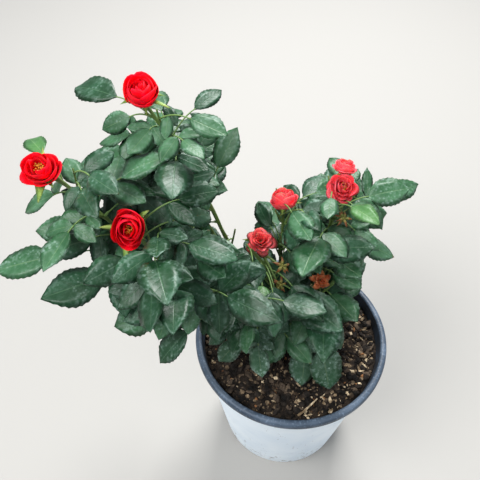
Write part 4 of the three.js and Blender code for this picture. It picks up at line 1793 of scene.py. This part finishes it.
def rotation(spins: Sequence[float]) -> np.ndarray:
    """The matrix that turns about x, then y, then z, by angles in radians."""
    (cx, cy, cz), (sx, sy, sz) = np.cos(spins), np.sin(spins)
    about_x = np.array([[1, 0, 0], [0, cx, -sx], [0, sx, cx]])
    about_y = np.array([[cy, 0, sy], [0, 1, 0], [-sy, 0, cy]])
    about_z = np.array([[cz, -sz, 0], [sz, cz, 0], [0, 0, 1]])
    return about_z @ about_y @ about_x


@dataclass
class Stem:
    """The short woody stem, with stubs of pruned canes."""

    sizes: StemSizes = STEM
    sides: int = 16
    sunk: float = 3
    # The stubs' ways round the stem, place as a share of its height, and reach out and up
    stub_turns: tuple[float, float] = (-70, 160)
    stub_at: float = 0.66
    stub_out: float = 6
    stub_up: float = 4

    LUMPS = (("burls", 0.012, 2.6), ("grain", 0.0035, 1.1))

    def build(self, bark: bpy.types.Material) -> None:
        """Models the stem from a disc, with two stubs drawn out of its sides."""
        s = self.sizes
        foot, rise = SOIL_TOP - self.sunk, SOIL_TOP + GAP
        Edit.disc(self.sides, s.flare * 1.15, Vec(s.x, s.y, foot))
        Edit.follow([
            (s.flare * 1.15, foot), (s.flare, rise + 1), (s.flare * 0.82, rise + 5),
            (s.waist, rise + s.waist_at * s.height), (s.waist * 1.02, rise + 0.45 * s.height),
            (s.knuckle * 0.97, rise + 0.6 * s.height), (s.knuckle, rise + s.knuckle_at * s.height),
            (s.knuckle * 0.95, rise + 0.86 * s.height), (s.neck, rise + s.height),
            (s.neck * 0.5, rise + s.height + s.dome),
        ])
        self._draw_stubs(bpy.context.object)
        Edit.enter()
        Edit.leave()
        made = Edit.settle("stem_wood", [bark])
        Edit.apply(made, "SUBSURF", levels=3, render_levels=3)
        Edit.roughen(made, self.LUMPS, mid_level=0.5)
        Edit.shade(made, True)
        self._mark(made)
        place_piece(made, ["stem"])

    def _draw_stubs(self, made: bpy.types.Object) -> None:
        """Draws two pruned stubs out of the knuckle's sides."""
        s = self.sizes
        middle = SOIL_TOP + GAP + self.stub_at * s.height
        for azimuth in map(math.radians, self.stub_turns):
            way = Vector((math.cos(azimuth), math.sin(azimuth), 0))
            bpy.ops.object.mode_set(mode="OBJECT")
            for face in made.data.polygons:
                near = abs((made.matrix_world @ face.center).z / MM - middle) < 3.2
                face.select = near and face.normal.to_2d().normalized().dot(way.to_2d()) > 0.95
            bpy.ops.object.mode_set(mode="EDIT")
            out = (way * self.stub_out + Vector((0, 0, self.stub_up))) * MM
            bpy.ops.mesh.extrude_region_move(TRANSFORM_OT_translate={"value": out})
            bpy.ops.mesh.inset(thickness=0.0006)
            bpy.ops.mesh.select_all(action="DESELECT")
        bpy.ops.object.mode_set(mode="OBJECT")

    @staticmethod
    def _mark(made: bpy.types.Object) -> None:
        """Gives the stem its own pattern: along its height, and around it."""
        data = made.data
        layer = data.uv_layers.get(Stock.UV) or data.uv_layers.new(name=Stock.UV)
        for loop in data.loops:
            co = data.vertices[loop.vertex_index].co
            around = math.atan2(co.y - STEM.y * MM, co.x - STEM.x * MM) / (2 * math.pi) + 0.5
            layer.uv[loop.index].vector = (co.z * 10, around)


@dataclass
class Limbs:
    """Canes, twigs, stalks and leaf stalks."""

    bush: Bush
    cane_sides: int = 10
    twig_sides: int = 7
    rachis_sides: int = 5
    shoot_sides: int = 6
    cane_steps: int = 26
    twig_steps: int = 14
    shoot_steps: int = 7
    cane_seed: int = 500
    twig_seed: int = 900
    # How far apart the canes' prickles are, how many a twig has, and how long both are
    prickle_every: float = 17
    twig_prickles: int = 5
    cane_prickle: float = 4.2
    twig_prickle: float = 3.2

    # A stipule's rows, as shares of its length
    STIPULE_ROWS = (0, 0.3, 0.65, 1)

    def build(self, canes: bpy.types.Material, twigs: bpy.types.Material,
              prickles: bpy.types.Material, stalks: bpy.types.Material) -> None:
        """Builds the canes with their prickles, then the finer limbs.

        Args:
            canes: the canes' bark.
            twigs: the twigs' bark.
            prickles: the prickles' finish.
            stalks: the leaf stalks' finish.
        """
        stock = Stock()
        for index, (name, arc) in enumerate(self.bush.canes.items()):
            draw = Draw(self.cane_seed + index)
            reach = distance(arc.start, arc.end)
            shares = evenly(self.cane_steps)
            radii = [self._cane_radius(t, reach) for t in shares]
            line = [arc.at(t) + self._wander(t, index) for t in shares]
            stock.tube(line, radii, self.cane_sides)
            for k in range(int(reach / self.prickle_every)):
                share = (k + 0.6 + 0.5 * draw()) * self.prickle_every / reach
                self._prickle(stock, arc, share, CANE_TIP, draw, self.cane_prickle)
        made = stock.mesh("canes", [canes, prickles])
        place_piece(made, [f"cane_{name}" for name in self.bush.canes])
        self._build_twigs(twigs, prickles, stalks)

    @staticmethod
    def _wander(share: float, index: int) -> Vec:
        """A cane's slight zigzag, none at its ends."""
        swing = math.sin(share * math.pi) * 1.6
        return Vec(
            swing * math.sin(share * 9 + index), swing * math.cos(share * 7 + 2 * index), 0
        )

    @staticmethod
    def _cane_radius(share: float, reach: float) -> float:
        """A cane's radius: a collar at its foot, and a swelling at each bud."""
        collar = 1.6 * math.exp(-share * reach / 7)
        buds = 0.35 * max(0.0, math.sin(share * reach / 7.5)) ** 6
        return mix(CANE_FOOT, CANE_TIP, share) + collar + buds

    def _build_twigs(self, bark: bpy.types.Material, prickles: bpy.types.Material,
                     stalks: bpy.types.Material) -> None:
        """Builds the twigs, the blooms' stalks and the leaves' stalks, for all sprays."""
        stock = Stock()
        sprays = {spray.name: spray for spray in SPRAYS}
        for index, shoot in enumerate(self.bush.shoots):
            draw = Draw(self.twig_seed + index)
            shares = evenly(self.shoot_steps if shoot.extra else self.twig_steps)
            radii = [self._twig_radius(shoot, t) for t in shares]
            sides = self.shoot_sides if shoot.extra else self.twig_sides
            stock.tube(shoot.arc.places(shares), radii, sides)
            if not shoot.extra:
                for _ in range(self.twig_prickles):
                    share = draw.between(0.06, 0.8)
                    self._prickle(stock, shoot.arc, share, shoot.tip, draw, self.twig_prickle)
                for bloom in sprays[shoot.spray].blooms:
                    self._stalk(stock, shoot.arc, bloom)
            for leaf in shoot.leaves:
                self._rachis(stock, leaf, draw)
        made = stock.mesh("twigs", [bark, prickles, stalks])
        place_piece(made, [f"spray_{spray.name}" for spray in SPRAYS])

    @staticmethod
    def _twig_radius(shoot: Shoot, share: float) -> float:
        """A twig's radius, with a swelling at each leaf."""
        nodes = [shoot.height(i) for i in range(len(shoot.aims))]
        swelling = max(math.exp(-((share - node) * 26) ** 2) for node in nodes)
        return mix(shoot.foot, shoot.tip, share) + 0.5 * swelling

    @staticmethod
    def _stalk(stock: Stock, twig: Arc, bloom: Bloom) -> None:
        """A bloom's stalk, thicker under the bloom."""
        facing = (bloom.gaze or bloom.facing).unit()
        foot, fork = bloom.at + facing * (-0.75 * bloom.radius), twig.at(TWIG_FORK)
        arc = Arc(fork, fork + twig.heading(TWIG_FORK) * (0.5 * distance(fork, foot)), foot)
        shares = evenly(10)
        stock.tube(arc.places(shares), [STALK_RADIUS + bloom.swelling * t**2 for t in shares], 8, 2)

    def _rachis(self, stock: Stock, leaf: Leaf, draw: Draw) -> None:
        """A leaf's stalk, with a sheath of two stipules at its foot."""
        shares = evenly(8)
        radii = [mix(RACHIS_FOOT, RACHIS_TIP, t) * (1.45 if t == 0 else 1) * 0.9 for t in shares]
        stock.tube(leaf.rachis.places(shares), radii, self.rachis_sides, 2)
        heading = leaf.rachis.heading(0.04)
        side, normal = axes_across(heading)
        start = leaf.rachis.start
        length = draw.between(7, 10)
        for hand in (1, -1):
            rows = []
            for t in self.STIPULE_ROWS:
                middle = start + heading * (t * length) + side * (hand * (0.6 + 1.1 * t * t))
                wide = (0.4 + 1.5 * math.sin(math.pi * min(1, t * 0.8 + 0.1))) * (1 - t**4)
                rows.append([
                    middle + side * (hand * wide * c) + normal * (wide * 0.3 * c)
                    for c in (0.0, 0.5, 1.0)
                ])
            grid = np.array(rows)
            if hand > 0:
                grid = grid[:, ::-1]
            mark = np.array([[(t, c) for c in (0.45, 0.52, 0.6)] for t in self.STIPULE_ROWS])
            stock.sheet(grid, mark, 0.4, (2, 2))

    @staticmethod
    def _prickle(
        stock: Stock, arc: Arc, share: float, radius: float, draw: Draw, length: float
    ) -> None:
        """A prickle that leans back along the limb."""
        share = min(share, 0.97)
        heading = arc.heading(share)
        side, normal = axes_across(heading, draw.between(0, 2 * math.pi))
        middle = arc.at(share) + normal * (radius * 0.75)
        height = length * draw.between(0.7, 1.15)
        rings, sides = ((0.0, 1.5, 0.75), (0.45, 0.62, 0.4)), 6
        places = []
        for lift, long, wide in rings:
            for k in range(sides):
                a = 2 * math.pi * k / sides
                places.append(
                    middle + normal * (lift * height)
                    + heading * (math.cos(a) * long - lift * height * 0.3)
                    + side * (math.sin(a) * wide)
                )
        places.append(middle + normal * height + heading * (-height * 0.55))
        places.append(middle + normal * -0.4)
        faces: list[Sequence[int]] = []
        for k in range(sides):
            n = (k + 1) % sides
            faces.append((n, k, sides + k, sides + n))
            faces.append((sides + n, sides + k, 2 * sides))
            faces.append((k, n, 2 * sides + 1))
        marks = np.array([[k / len(places), 0.5] for k in range(len(places))])
        stock.add(np.array(places), faces, 1, marks)


@dataclass
class Foliage:
    """The leaflets of every leaf, each in its own serrated outline."""

    bush: Bush
    teeth: int = 10
    thickness: float = 0.5
    end_sizes: tuple[float, float] = (1.1, 1.34)
    pair_sizes: tuple[float, float] = (1.0, 1.24)
    slimness: tuple[float, float] = (0.76, 1.0)
    smaller: float = 0.94
    past_box: float = 8
    # A size is lowered to this one at most, by this step, to hold a leaflet near the box
    least_size: float = 0.9
    size_step: float = 0.03
    seed: int = 1300
    # Ranges of a leaflet's sag, fold along its midrib, wave of its edges, and twist
    sag: tuple[float, float] = (-0.05, 0.08)
    fold: tuple[float, float] = (-0.14, 0.26)
    wave: tuple[float, float] = (0.6, 2.0)
    twist: tuple[float, float] = (-0.22, 0.22)
    tooth_out: float = 1.045
    notch_in: float = 0.985
    tooth_forward: float = 0.018
    # Where leaves are fresh or dusty, the share of those that are, and the usual share of deep ones
    fresh_above: float = 0.8
    fresh_share: float = 0.11
    dusty_below: float = 325
    dusty_share: float = 0.8
    usual_shade: float = 0.42

    # The share of deep leaves in the sprays that stand in the shade of others, or in the sun
    SHADY = {
        "far_left": 0.7, "front_left": 0.86, "mid_left": 0.9, "inner_left": 0.92,
        "centre_front": 0.86, "right": 0.05, "back_right": 0.1,
    }
    # Half the leaflet's width at even steps of its length
    HALF_WIDTHS = (0.0, 0.27, 0.415, 0.475, 0.49, 0.46, 0.37, 0.21, 0.0)
    COLUMNS = (-1.0, -0.52, 0.0, 0.52, 1.0)

    def half_width(self, x: float) -> float:
        """Half the leaflet's width at a share of its length, as a share of its full width."""
        steps = len(self.HALF_WIDTHS) - 1
        return float(np.interp(x * steps, range(steps + 1), self.HALF_WIDTHS))

    def _held(self, blade: Blade, size: float) -> float:
        """A leaflet's size, less where it would grow far past the solids' box."""
        low, high, past = self.bush.low, self.bush.high, self.past_box
        while size > self.least_size:
            places = [blade.place(size * x, size * y) for x, y in OUTLINE]
            if all(
                low.x - past <= p.x <= high.x + past and low.y - past <= p.y <= high.y + past
                for p in places
            ):
                break
            size -= self.size_step
        return size

    def _sheet(self, stock: Stock, blade: Blade, size: float, slim: float, draw: Draw) -> None:
        """Adds one leaflet, folded, curled and waved a little.

        Args:
            stock: the piece it is added to.
            blade: where it is set.
            size: its size as a share of the blade's.
            slim: how much narrower it is than the rule's.
            draw: the leaf's draws.
        """
        rows = 2 * self.teeth + 1
        sag, fold, wave = (draw.between(*ends) for ends in (self.sag, self.fold, self.wave))
        phase = draw.between(0, 2 * math.pi)
        twist = draw.between(*self.twist)
        slim *= draw.between(*self.slimness)
        grid = np.zeros((rows, len(self.COLUMNS), 3))
        mark = np.zeros((rows, len(self.COLUMNS), 2))
        for i in range(rows):
            x = i / (rows - 1)
            half = self.half_width(x)
            for j, column in enumerate(self.COLUMNS):
                edge = abs(column) == 1
                tooth = edge and i % 2 == 1
                reach = slim * half * (self.tooth_out if tooth else self.notch_in)
                forward = self.tooth_forward if tooth else 0.0
                forward += 0.06 * abs(column) * (1 - x) * x
                y = column * reach
                swing = math.sin(x * 12 + phase + 1.7 * column)
                ripple = wave * 0.02 * blade.length * column**2 * swing
                lift = (
                    ripple
                    - sag * blade.length * math.sin(math.pi * x)
                    + twist * y * blade.width * x * 2
                    + (fold * abs(y) - 0.5 * y * y) * blade.width
                )
                along = size * min(1.0, x + forward * (1 - x))
                grid[i, j] = blade.place(along, size * y, lift)
                mark[i, j] = (x, 0.5 + 0.5 * column)
        stock.sheet(grid, mark, self.thickness, (0, 1))

    def tint_of(self, leaf: Leaf, draw: Draw) -> LeafTint:
        """Deals a leaf its tint: fresh near tips, dusty low over the soil, deep in the shade."""
        deal = draw()
        if leaf.height > self.fresh_above and deal < self.fresh_share:
            return LeafTint.FRESH
        if leaf.rachis.end.z < self.dusty_below and deal < self.dusty_share:
            return LeafTint.DUSTY
        shade = self.SHADY.get(leaf.spray, self.usual_shade)
        return LeafTint.DEEP if deal < shade else LeafTint.GREEN

    def build(self) -> None:
        """Builds one piece for each tint."""
        stocks = {tint: Stock() for tint in LeafTint}
        nodes: dict[LeafTint, set[str]] = {tint: set() for tint in LeafTint}
        for index, shoot in enumerate(self.bush.shoots):
            draw = Draw(self.seed + index)
            for leaf in shoot.leaves:
                tint = self.tint_of(leaf, draw)
                nodes[tint].add(f"spray_{shoot.spray}")
                for i, blade in enumerate(leaf.blades):
                    sizes = self.pair_sizes if i else self.end_sizes
                    size = draw.between(*sizes) * (self.smaller if leaf.extra else 1.0)
                    self._sheet(stocks[tint], blade, self._held(blade, size), leaf.slim, draw)
        for finish in LEAF_FINISHES:
            tint, sides = finish.tint, [finish.material(), finish.underside()]
            made = stocks[tint].mesh(f"leaves_{tint.value}", sides)
            place_piece(made, sorted(nodes[tint]))


@dataclass(frozen=True)
class Whorl:
    """A ring of petals: how many, how they curve from foot to edge, and how they spread."""

    count: int
    bend: tuple[float, float]
    edge: tuple[float, float]
    overlap: float
    reflex: float


@dataclass
class Blooms:
    """Roses in their stages, with calyces, sepals and stamens, and spent calyces."""

    bush: Bush
    rows: int = 8
    columns: int = 9
    thickness: float = 0.45
    sepals: int = 5
    sepal_rows: int = 7
    sepal_thickness: float = 0.4
    stamens: int = 30
    seed: int = 3001
    spent_seed: int = 7000

    # Places are shares of the bloom's radius: outward from its axis, and up it
    SHAPES = {
        Kind.FULL: (
            Whorl(4, (1.2, -0.5), (0.98, 0.28), 1.6, 0.1),
            Whorl(4, (1.12, -0.3), (0.74, 0.5), 1.6, 0.03),
            Whorl(4, (0.86, -0.15), (0.46, 0.6), 1.6, 0.0),
            Whorl(3, (0.56, -0.1), (0.26, 0.64), 1.7, 0.0),
            Whorl(3, (0.34, 0.0), (0.1, 0.62), 1.8, 0.0),
        ),
        Kind.OPEN: (
            Whorl(5, (1.05, -0.55), (1.05, 0.12), 1.45, 0.16),
            Whorl(4, (1.05, -0.4), (0.86, 0.42), 1.5, 0.08),
            Whorl(4, (0.82, -0.3), (0.62, 0.56), 1.5, 0.03),
            Whorl(3, (0.6, -0.25), (0.42, 0.56), 1.3, 0.0),
        ),
        Kind.EGG: (
            Whorl(4, (1.2, -0.45), (0.94, 0.42), 1.7, 0.06),
            Whorl(4, (1.08, -0.3), (0.68, 0.66), 1.7, 0.02),
            Whorl(3, (0.84, -0.2), (0.44, 0.72), 1.7, 0.0),
            Whorl(3, (0.56, -0.15), (0.28, 0.66), 1.5, 0.0),
        ),
        Kind.CORAL: (
            Whorl(5, (1.0, -0.55), (1.02, 0.06), 1.35, 0.26),
            Whorl(5, (0.98, -0.4), (0.84, 0.36), 1.4, 0.16),
            Whorl(4, (0.76, -0.2), (0.56, 0.54), 1.5, 0.08),
            Whorl(4, (0.5, -0.1), (0.32, 0.6), 1.5, 0.02),
            Whorl(3, (0.28, 0.0), (0.12, 0.58), 1.6, 0.0),
        ),
        Kind.CUP: (
            Whorl(4, (1.15, -0.6), (0.94, 0.34), 1.5, 0.2),
            Whorl(4, (1.05, -0.4), (0.72, 0.62), 1.5, 0.1),
            Whorl(4, (0.8, -0.2), (0.46, 0.74), 1.5, 0.04),
            Whorl(3, (0.5, -0.1), (0.22, 0.74), 1.6, 0.0),
        ),
        Kind.WILTED: (
            Whorl(5, (0.9, -0.3), (1.0, -0.16), 1.3, 0.4),
            Whorl(5, (0.82, -0.2), (0.78, 0.24), 1.3, 0.3),
            Whorl(4, (0.62, -0.1), (0.5, 0.46), 1.4, 0.2),
            Whorl(4, (0.36, 0.0), (0.26, 0.5), 1.4, 0.1),
        ),
        Kind.DRIED: (
            Whorl(5, (0.7, -0.2), (0.95, 0.1), 1.1, 0.3),
            Whorl(5, (0.5, 0.0), (0.6, 0.4), 1.1, 0.2),
            Whorl(3, (0.3, 0.1), (0.2, 0.5), 1.2, 0.0),
        ),
    }
    FOOT = (0.07, -0.5)
    # Rings of the hip: height on the bloom's axis and radius, as shares of the bloom's radius
    HIP = ((-0.86, 0.1), (-0.78, 0.16), (-0.66, 0.22), (-0.56, 0.23), (-0.48, 0.19), (-0.42, 0.13))
    # The finish's slot, and how limp the petals are
    HABITS = {
        Kind.FULL: (0, 1.7), Kind.OPEN: (0, 2.1), Kind.EGG: (0, 1.7), Kind.CORAL: (1, 2.0),
        Kind.CUP: (1, 1.6), Kind.WILTED: (2, 2.8), Kind.DRIED: (3, 3.2),
    }
    WITH_STAMENS = (Kind.OPEN, Kind.EGG, Kind.CORAL)

    def build(self, greens_finishes: Sequence[bpy.types.Material]) -> None:
        """Builds petals, calyces and stamens, each kind in one piece.

        Args:
            greens_finishes: the finishes of calyces, of stalks, and of spent calyces.
        """
        petals, greens, stamens = Stock(), Stock(), Stock()
        blooms = [(spray.name, bloom) for spray in SPRAYS for bloom in spray.blooms]
        for seed, (_, bloom) in enumerate(blooms, self.seed):
            draw = Draw(seed)
            self._petals(petals, bloom, draw)
            self._calyx(greens, bloom.at, bloom.gaze or bloom.facing, bloom.radius, draw)
            if bloom.kind in self.WITH_STAMENS:
                self._stamens(stamens, bloom, draw)
        self._long_sepals(greens)
        self._spent(greens)
        sprays = [f"spray_{name}" for name, _ in blooms]
        made = petals.mesh("petals", [finish.material() for finish in PETAL_FINISHES])
        place_piece(made, sprays)
        place_piece(greens.mesh("calyces", greens_finishes), sprays)
        place_piece(stamens.mesh("stamens", [PollenFinish().material()]), sprays)

    @staticmethod
    def _axes(facing: Vec) -> tuple[np.ndarray, np.ndarray, np.ndarray]:
        """The bloom's own axes: two across it, and the way it faces."""
        face = facing.unit()
        side, normal = axes_across(face)
        return np.array(side), np.array(normal), np.array(face)

    def _petals(self, stock: Stock, bloom: Bloom, draw: Draw) -> None:
        """Adds a bloom's petals, whorl by whorl."""
        across, upright, face = self._axes(bloom.gaze or bloom.facing)
        across, upright = across * bloom.squash[0], upright * bloom.squash[1]
        slot, limp = self.HABITS[bloom.kind]
        for whorl in self.SHAPES[bloom.kind]:
            turn = draw.between(0, 2 * math.pi)
            for k in range(whorl.count):
                middle = turn + 2 * math.pi * (k + draw.between(-0.12, 0.12)) / whorl.count
                half = math.pi / whorl.count * whorl.overlap
                scale = draw.between(0.93, 1.05)
                lean = draw.between(-0.05, 0.05) * limp
                phase = draw.between(0, 2 * math.pi)
                ruffle = draw.between(0.02, 0.05) * limp
                grid = np.zeros((self.rows, self.columns, 3))
                mark = np.zeros((self.rows, self.columns, 2))
                for i in range(self.rows):
                    t = i / (self.rows - 1)
                    for j in range(self.columns):
                        s = 2 * j / (self.columns - 1) - 1
                        u = t * (1 - 0.2 * s**4 - 0.06 * s * s)
                        out, up = self._meridian(whorl, u, scale, lean)
                        wide = half * (0.35 + 0.65 * math.sin(math.pi * min(1.0, 0.12 + 0.62 * t)))
                        angle = middle + s * wide
                        out *= 1 + 0.07 * s
                        ripple = ruffle * t * t * math.sin(3.1 * s + phase)
                        out += ripple
                        up += ripple * 0.6 + 0.03 * t * (1 - s * s)
                        spread = math.cos(angle) * across + math.sin(angle) * upright
                        grid[i, j] = np.array(bloom.at) + bloom.radius * (out * spread + up * face)
                        mark[i, j] = (t, 0.5 + 0.5 * s)
                stock.sheet(grid, mark, self.thickness, (slot, slot))

    def _meridian(self, whorl: Whorl, u: float, scale: float, lean: float) -> tuple[float, float]:
        """Out and up, as shares of the radius, at a share of a petal's length."""
        rest = 1 - u
        (bend_out, bend_up), (edge_out, edge_up) = whorl.bend, whorl.edge
        out = rest * rest * self.FOOT[0] + 2 * rest * u * bend_out + u * u * edge_out * scale
        up = rest * rest * self.FOOT[1] + 2 * rest * u * bend_up + u * u * (edge_up * scale + lean)
        roll = max(0.0, u - 0.72) / 0.28
        return out + whorl.reflex * 0.6 * roll * roll, up - whorl.reflex * roll * roll

    def _calyx(
        self, stock: Stock, at: Vec, facing: Vec, radius: float, draw: Draw, slot: int = 0
    ) -> None:
        """Adds the hip under a bloom, and its five sepals."""
        across, upright, face = self._axes(facing)
        middle = np.array(at)
        size = max(radius, 9.0)
        line = [Vec(*(middle + face * (size * z))) for z, _ in self.HIP]
        stock.tube(line, [size * r for _, r in self.HIP], 10, slot)
        turn = draw.between(0, 2 * math.pi)
        for k in range(self.sepals):
            angle = turn + 2 * math.pi * k / self.sepals + draw.between(-0.2, 0.2)
            out_way = math.cos(angle) * across + math.sin(angle) * upright
            side_way = np.cross(face, out_way)
            length = size * draw.between(0.95, 1.35)
            droop = draw.between(0.1, 0.9)
            grid = np.zeros((self.sepal_rows, 3, 3))
            mark = np.zeros((self.sepal_rows, 3, 2))
            for i in range(self.sepal_rows):
                t = i / (self.sepal_rows - 1)
                out = 0.12 * size + length * (t * 0.95)
                up = -0.5 * size + length * (0.35 * t - droop * t * t)
                belly = math.sin(math.pi * min(1, t * 0.85 + 0.15)) ** 0.8
                wide = size * 0.2 * belly * (1 - t**3)
                for j, s in enumerate((-1, 0, 1)):
                    cup = abs(s) * wide * 0.45
                    grid[i, j] = middle + out_way * out + face * (up + cup) + side_way * (s * wide)
                    mark[i, j] = (t, 0.5 + 0.4 * s)
            stock.sheet(grid, mark, self.sepal_thickness, (slot, slot))

    def _long_sepals(self, stock: Stock) -> None:
        """Adds the long sepals, each bowed and cupped."""
        shares = evenly(8)
        for sepal in SEPALS:
            line = sepal.end - sepal.start
            side, normal = axes_across(line.unit(), 0.0, LIGHT)
            rows = []
            for t in shares:
                middle = sepal.start + line * t + normal * (sepal.bow * math.sin(math.pi * t))
                half = 0.5 * sepal.width * math.sin(math.pi * min(1.0, 0.3 + 0.7 * t)) ** 0.7
                rows.append([middle + side * (s * half) + normal * (0.25 * half * abs(s))
                             for s in (1, 0, -1)])
            mark = np.array([[(t, 0.5 + 0.4 * s) for s in (1, 0, -1)] for t in shares])
            stock.sheet(np.array(rows), mark, self.thickness, (0, 0))

    def _spent(self, stock: Stock) -> None:
        """Adds the calyces that have shed their petals, each on a stalk from its spray's twig."""
        twigs = {shoot.spray: shoot.arc for shoot in reversed(self.bush.shoots)}
        for number, (at, facing, size, spray) in enumerate(SPENT):
            draw = Draw(self.spent_seed + number)
            self._calyx(stock, at, facing, size, draw, 2)
            self._calyx(stock, at + facing.unit() * (0.3 * size), facing, size * 0.8, draw, 2)
            twig = twigs[spray]
            foot = at - facing.unit() * (0.82 * size)
            arc = set_off(twig.at(TWIG_FORK), twig.heading(TWIG_FORK), foot)
            shares = evenly(8)
            stock.tube(arc.places(shares), [STALK_RADIUS * (0.8 + 0.3 * t) for t in shares], 7, 1)

    def _stamens(self, stock: Stock, bloom: Bloom, draw: Draw) -> None:
        """Adds a tuft of filaments with anthers in an open bloom's heart."""
        across, upright, face = self._axes(bloom.gaze or bloom.facing)
        middle = np.array(bloom.at)
        for _ in range(self.stamens):
            angle = draw.between(0, 2 * math.pi)
            out = 0.26 * math.sqrt(draw()) * bloom.radius
            top = draw.between(0.12, 0.34) * bloom.radius
            spread = math.cos(angle) * across + math.sin(angle) * upright
            foot = middle + spread * (out * 0.3) - face * (0.3 * bloom.radius)
            head = middle + spread * out + face * top
            line = [Vec(*foot), Vec(*(foot * 0.5 + head * 0.5 + spread * 0.3)), Vec(*head)]
            stock.tube(line, [0.22, 0.2, 0.18], 4)
            bead = [Vec(*(head + face * z)) for z in (-0.2, 0.25, 0.8, 1.2)]
            stock.tube(bead, [0.3, 0.7, 0.65, 0.25], 6)


@dataclass
class Studio:
    """The floor, the lights and the camera."""

    camera_at: tuple[float, float, float] = (-0.0693, -0.409, 0.9277)
    camera_tilt: float = 39.8
    focal: float = 43.5
    sensor: float = 36.0
    aim: tuple[float, float, float] = (-0.08, 0.0, 0.35)
    floor_colour: Colour = (0.37, 0.36, 0.34)
    sky_colour: Colour = (0.86, 0.92, 1.0)
    sky_strength: float = 0.48

    # Name, place in metres, size in metres and power in watts
    LAMPS = (
        ("key", (-1.2, -0.7, 2.3), 1.3, 64),
        ("fill", (1.7, -1.2, 1.7), 1.8, 16),
        ("sky", (0.3, 1.5, 2.1), 0.9, 88),
    )

    def build(self) -> None:
        """Sets the stage."""
        Edit.start()
        bpy.ops.mesh.primitive_plane_add(size=8, location=(0, 0, 0))
        finish = Graph("floor_plain", 0.2, Roughness=0.85, Base_Color=(*self.floor_colour, 1))
        floor = Edit.settle("floor", [finish.material])
        self._world()
        for name, place, size, power in self.LAMPS:
            self._light(name, Vector(place), size, power)
        data = bpy.data.cameras.new("camera")
        data.lens, data.sensor_width = self.focal, self.sensor
        data.clip_start, data.clip_end = 0.05, 50
        camera = bpy.data.objects.new("camera", data)
        camera.location = self.camera_at
        camera.rotation_euler = (math.radians(self.camera_tilt), 0, 0)
        bpy.context.scene.collection.objects.link(camera)
        bpy.context.scene.camera = camera
        bpy.context.scene.view_settings.view_transform = "Standard"

    def _world(self) -> None:
        """Soft light from all round."""
        world = bpy.data.worlds.new("studio")
        world.use_nodes = True
        background = world.node_tree.nodes["Background"]
        background.inputs[0].default_value = (*self.sky_colour, 1)
        background.inputs[1].default_value = self.sky_strength
        bpy.context.scene.world = world

    def _light(self, name: str, place: Vector, size: float, power: float) -> None:
        """Adds a large soft light that looks at the bush."""
        data = bpy.data.lights.new(name, "AREA")
        data.size, data.energy = size, power
        light = bpy.data.objects.new(name, data)
        light.location = place
        way = Vector(self.aim) - place
        light.rotation_euler = way.to_track_quat("-Z", "Y").to_euler()
        bpy.context.scene.collection.objects.link(light)


def main() -> None:
    """Builds every piece in order."""
    logging.basicConfig(level=logging.INFO, format="%(message)s")
    bush = Bush()
    log.info("leaves %d, leaflets %d", sum(len(s.leaves) for s in bush.shoots), len(bush.blades))
    Pot().build()
    Soil().build()
    stem, cane, twig, prickle, stalk = (finish.material() for finish in BARKS)
    calyx, dry = (finish.material() for finish in CALYX_FINISHES)
    Stem().build(stem)
    Limbs(bush).build(cane, twig, prickle, stalk)
    Foliage(bush).build()
    Blooms(bush).build([calyx, twig, dry])
    Studio().build()
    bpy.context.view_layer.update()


if __name__ == "__main__":
    main()
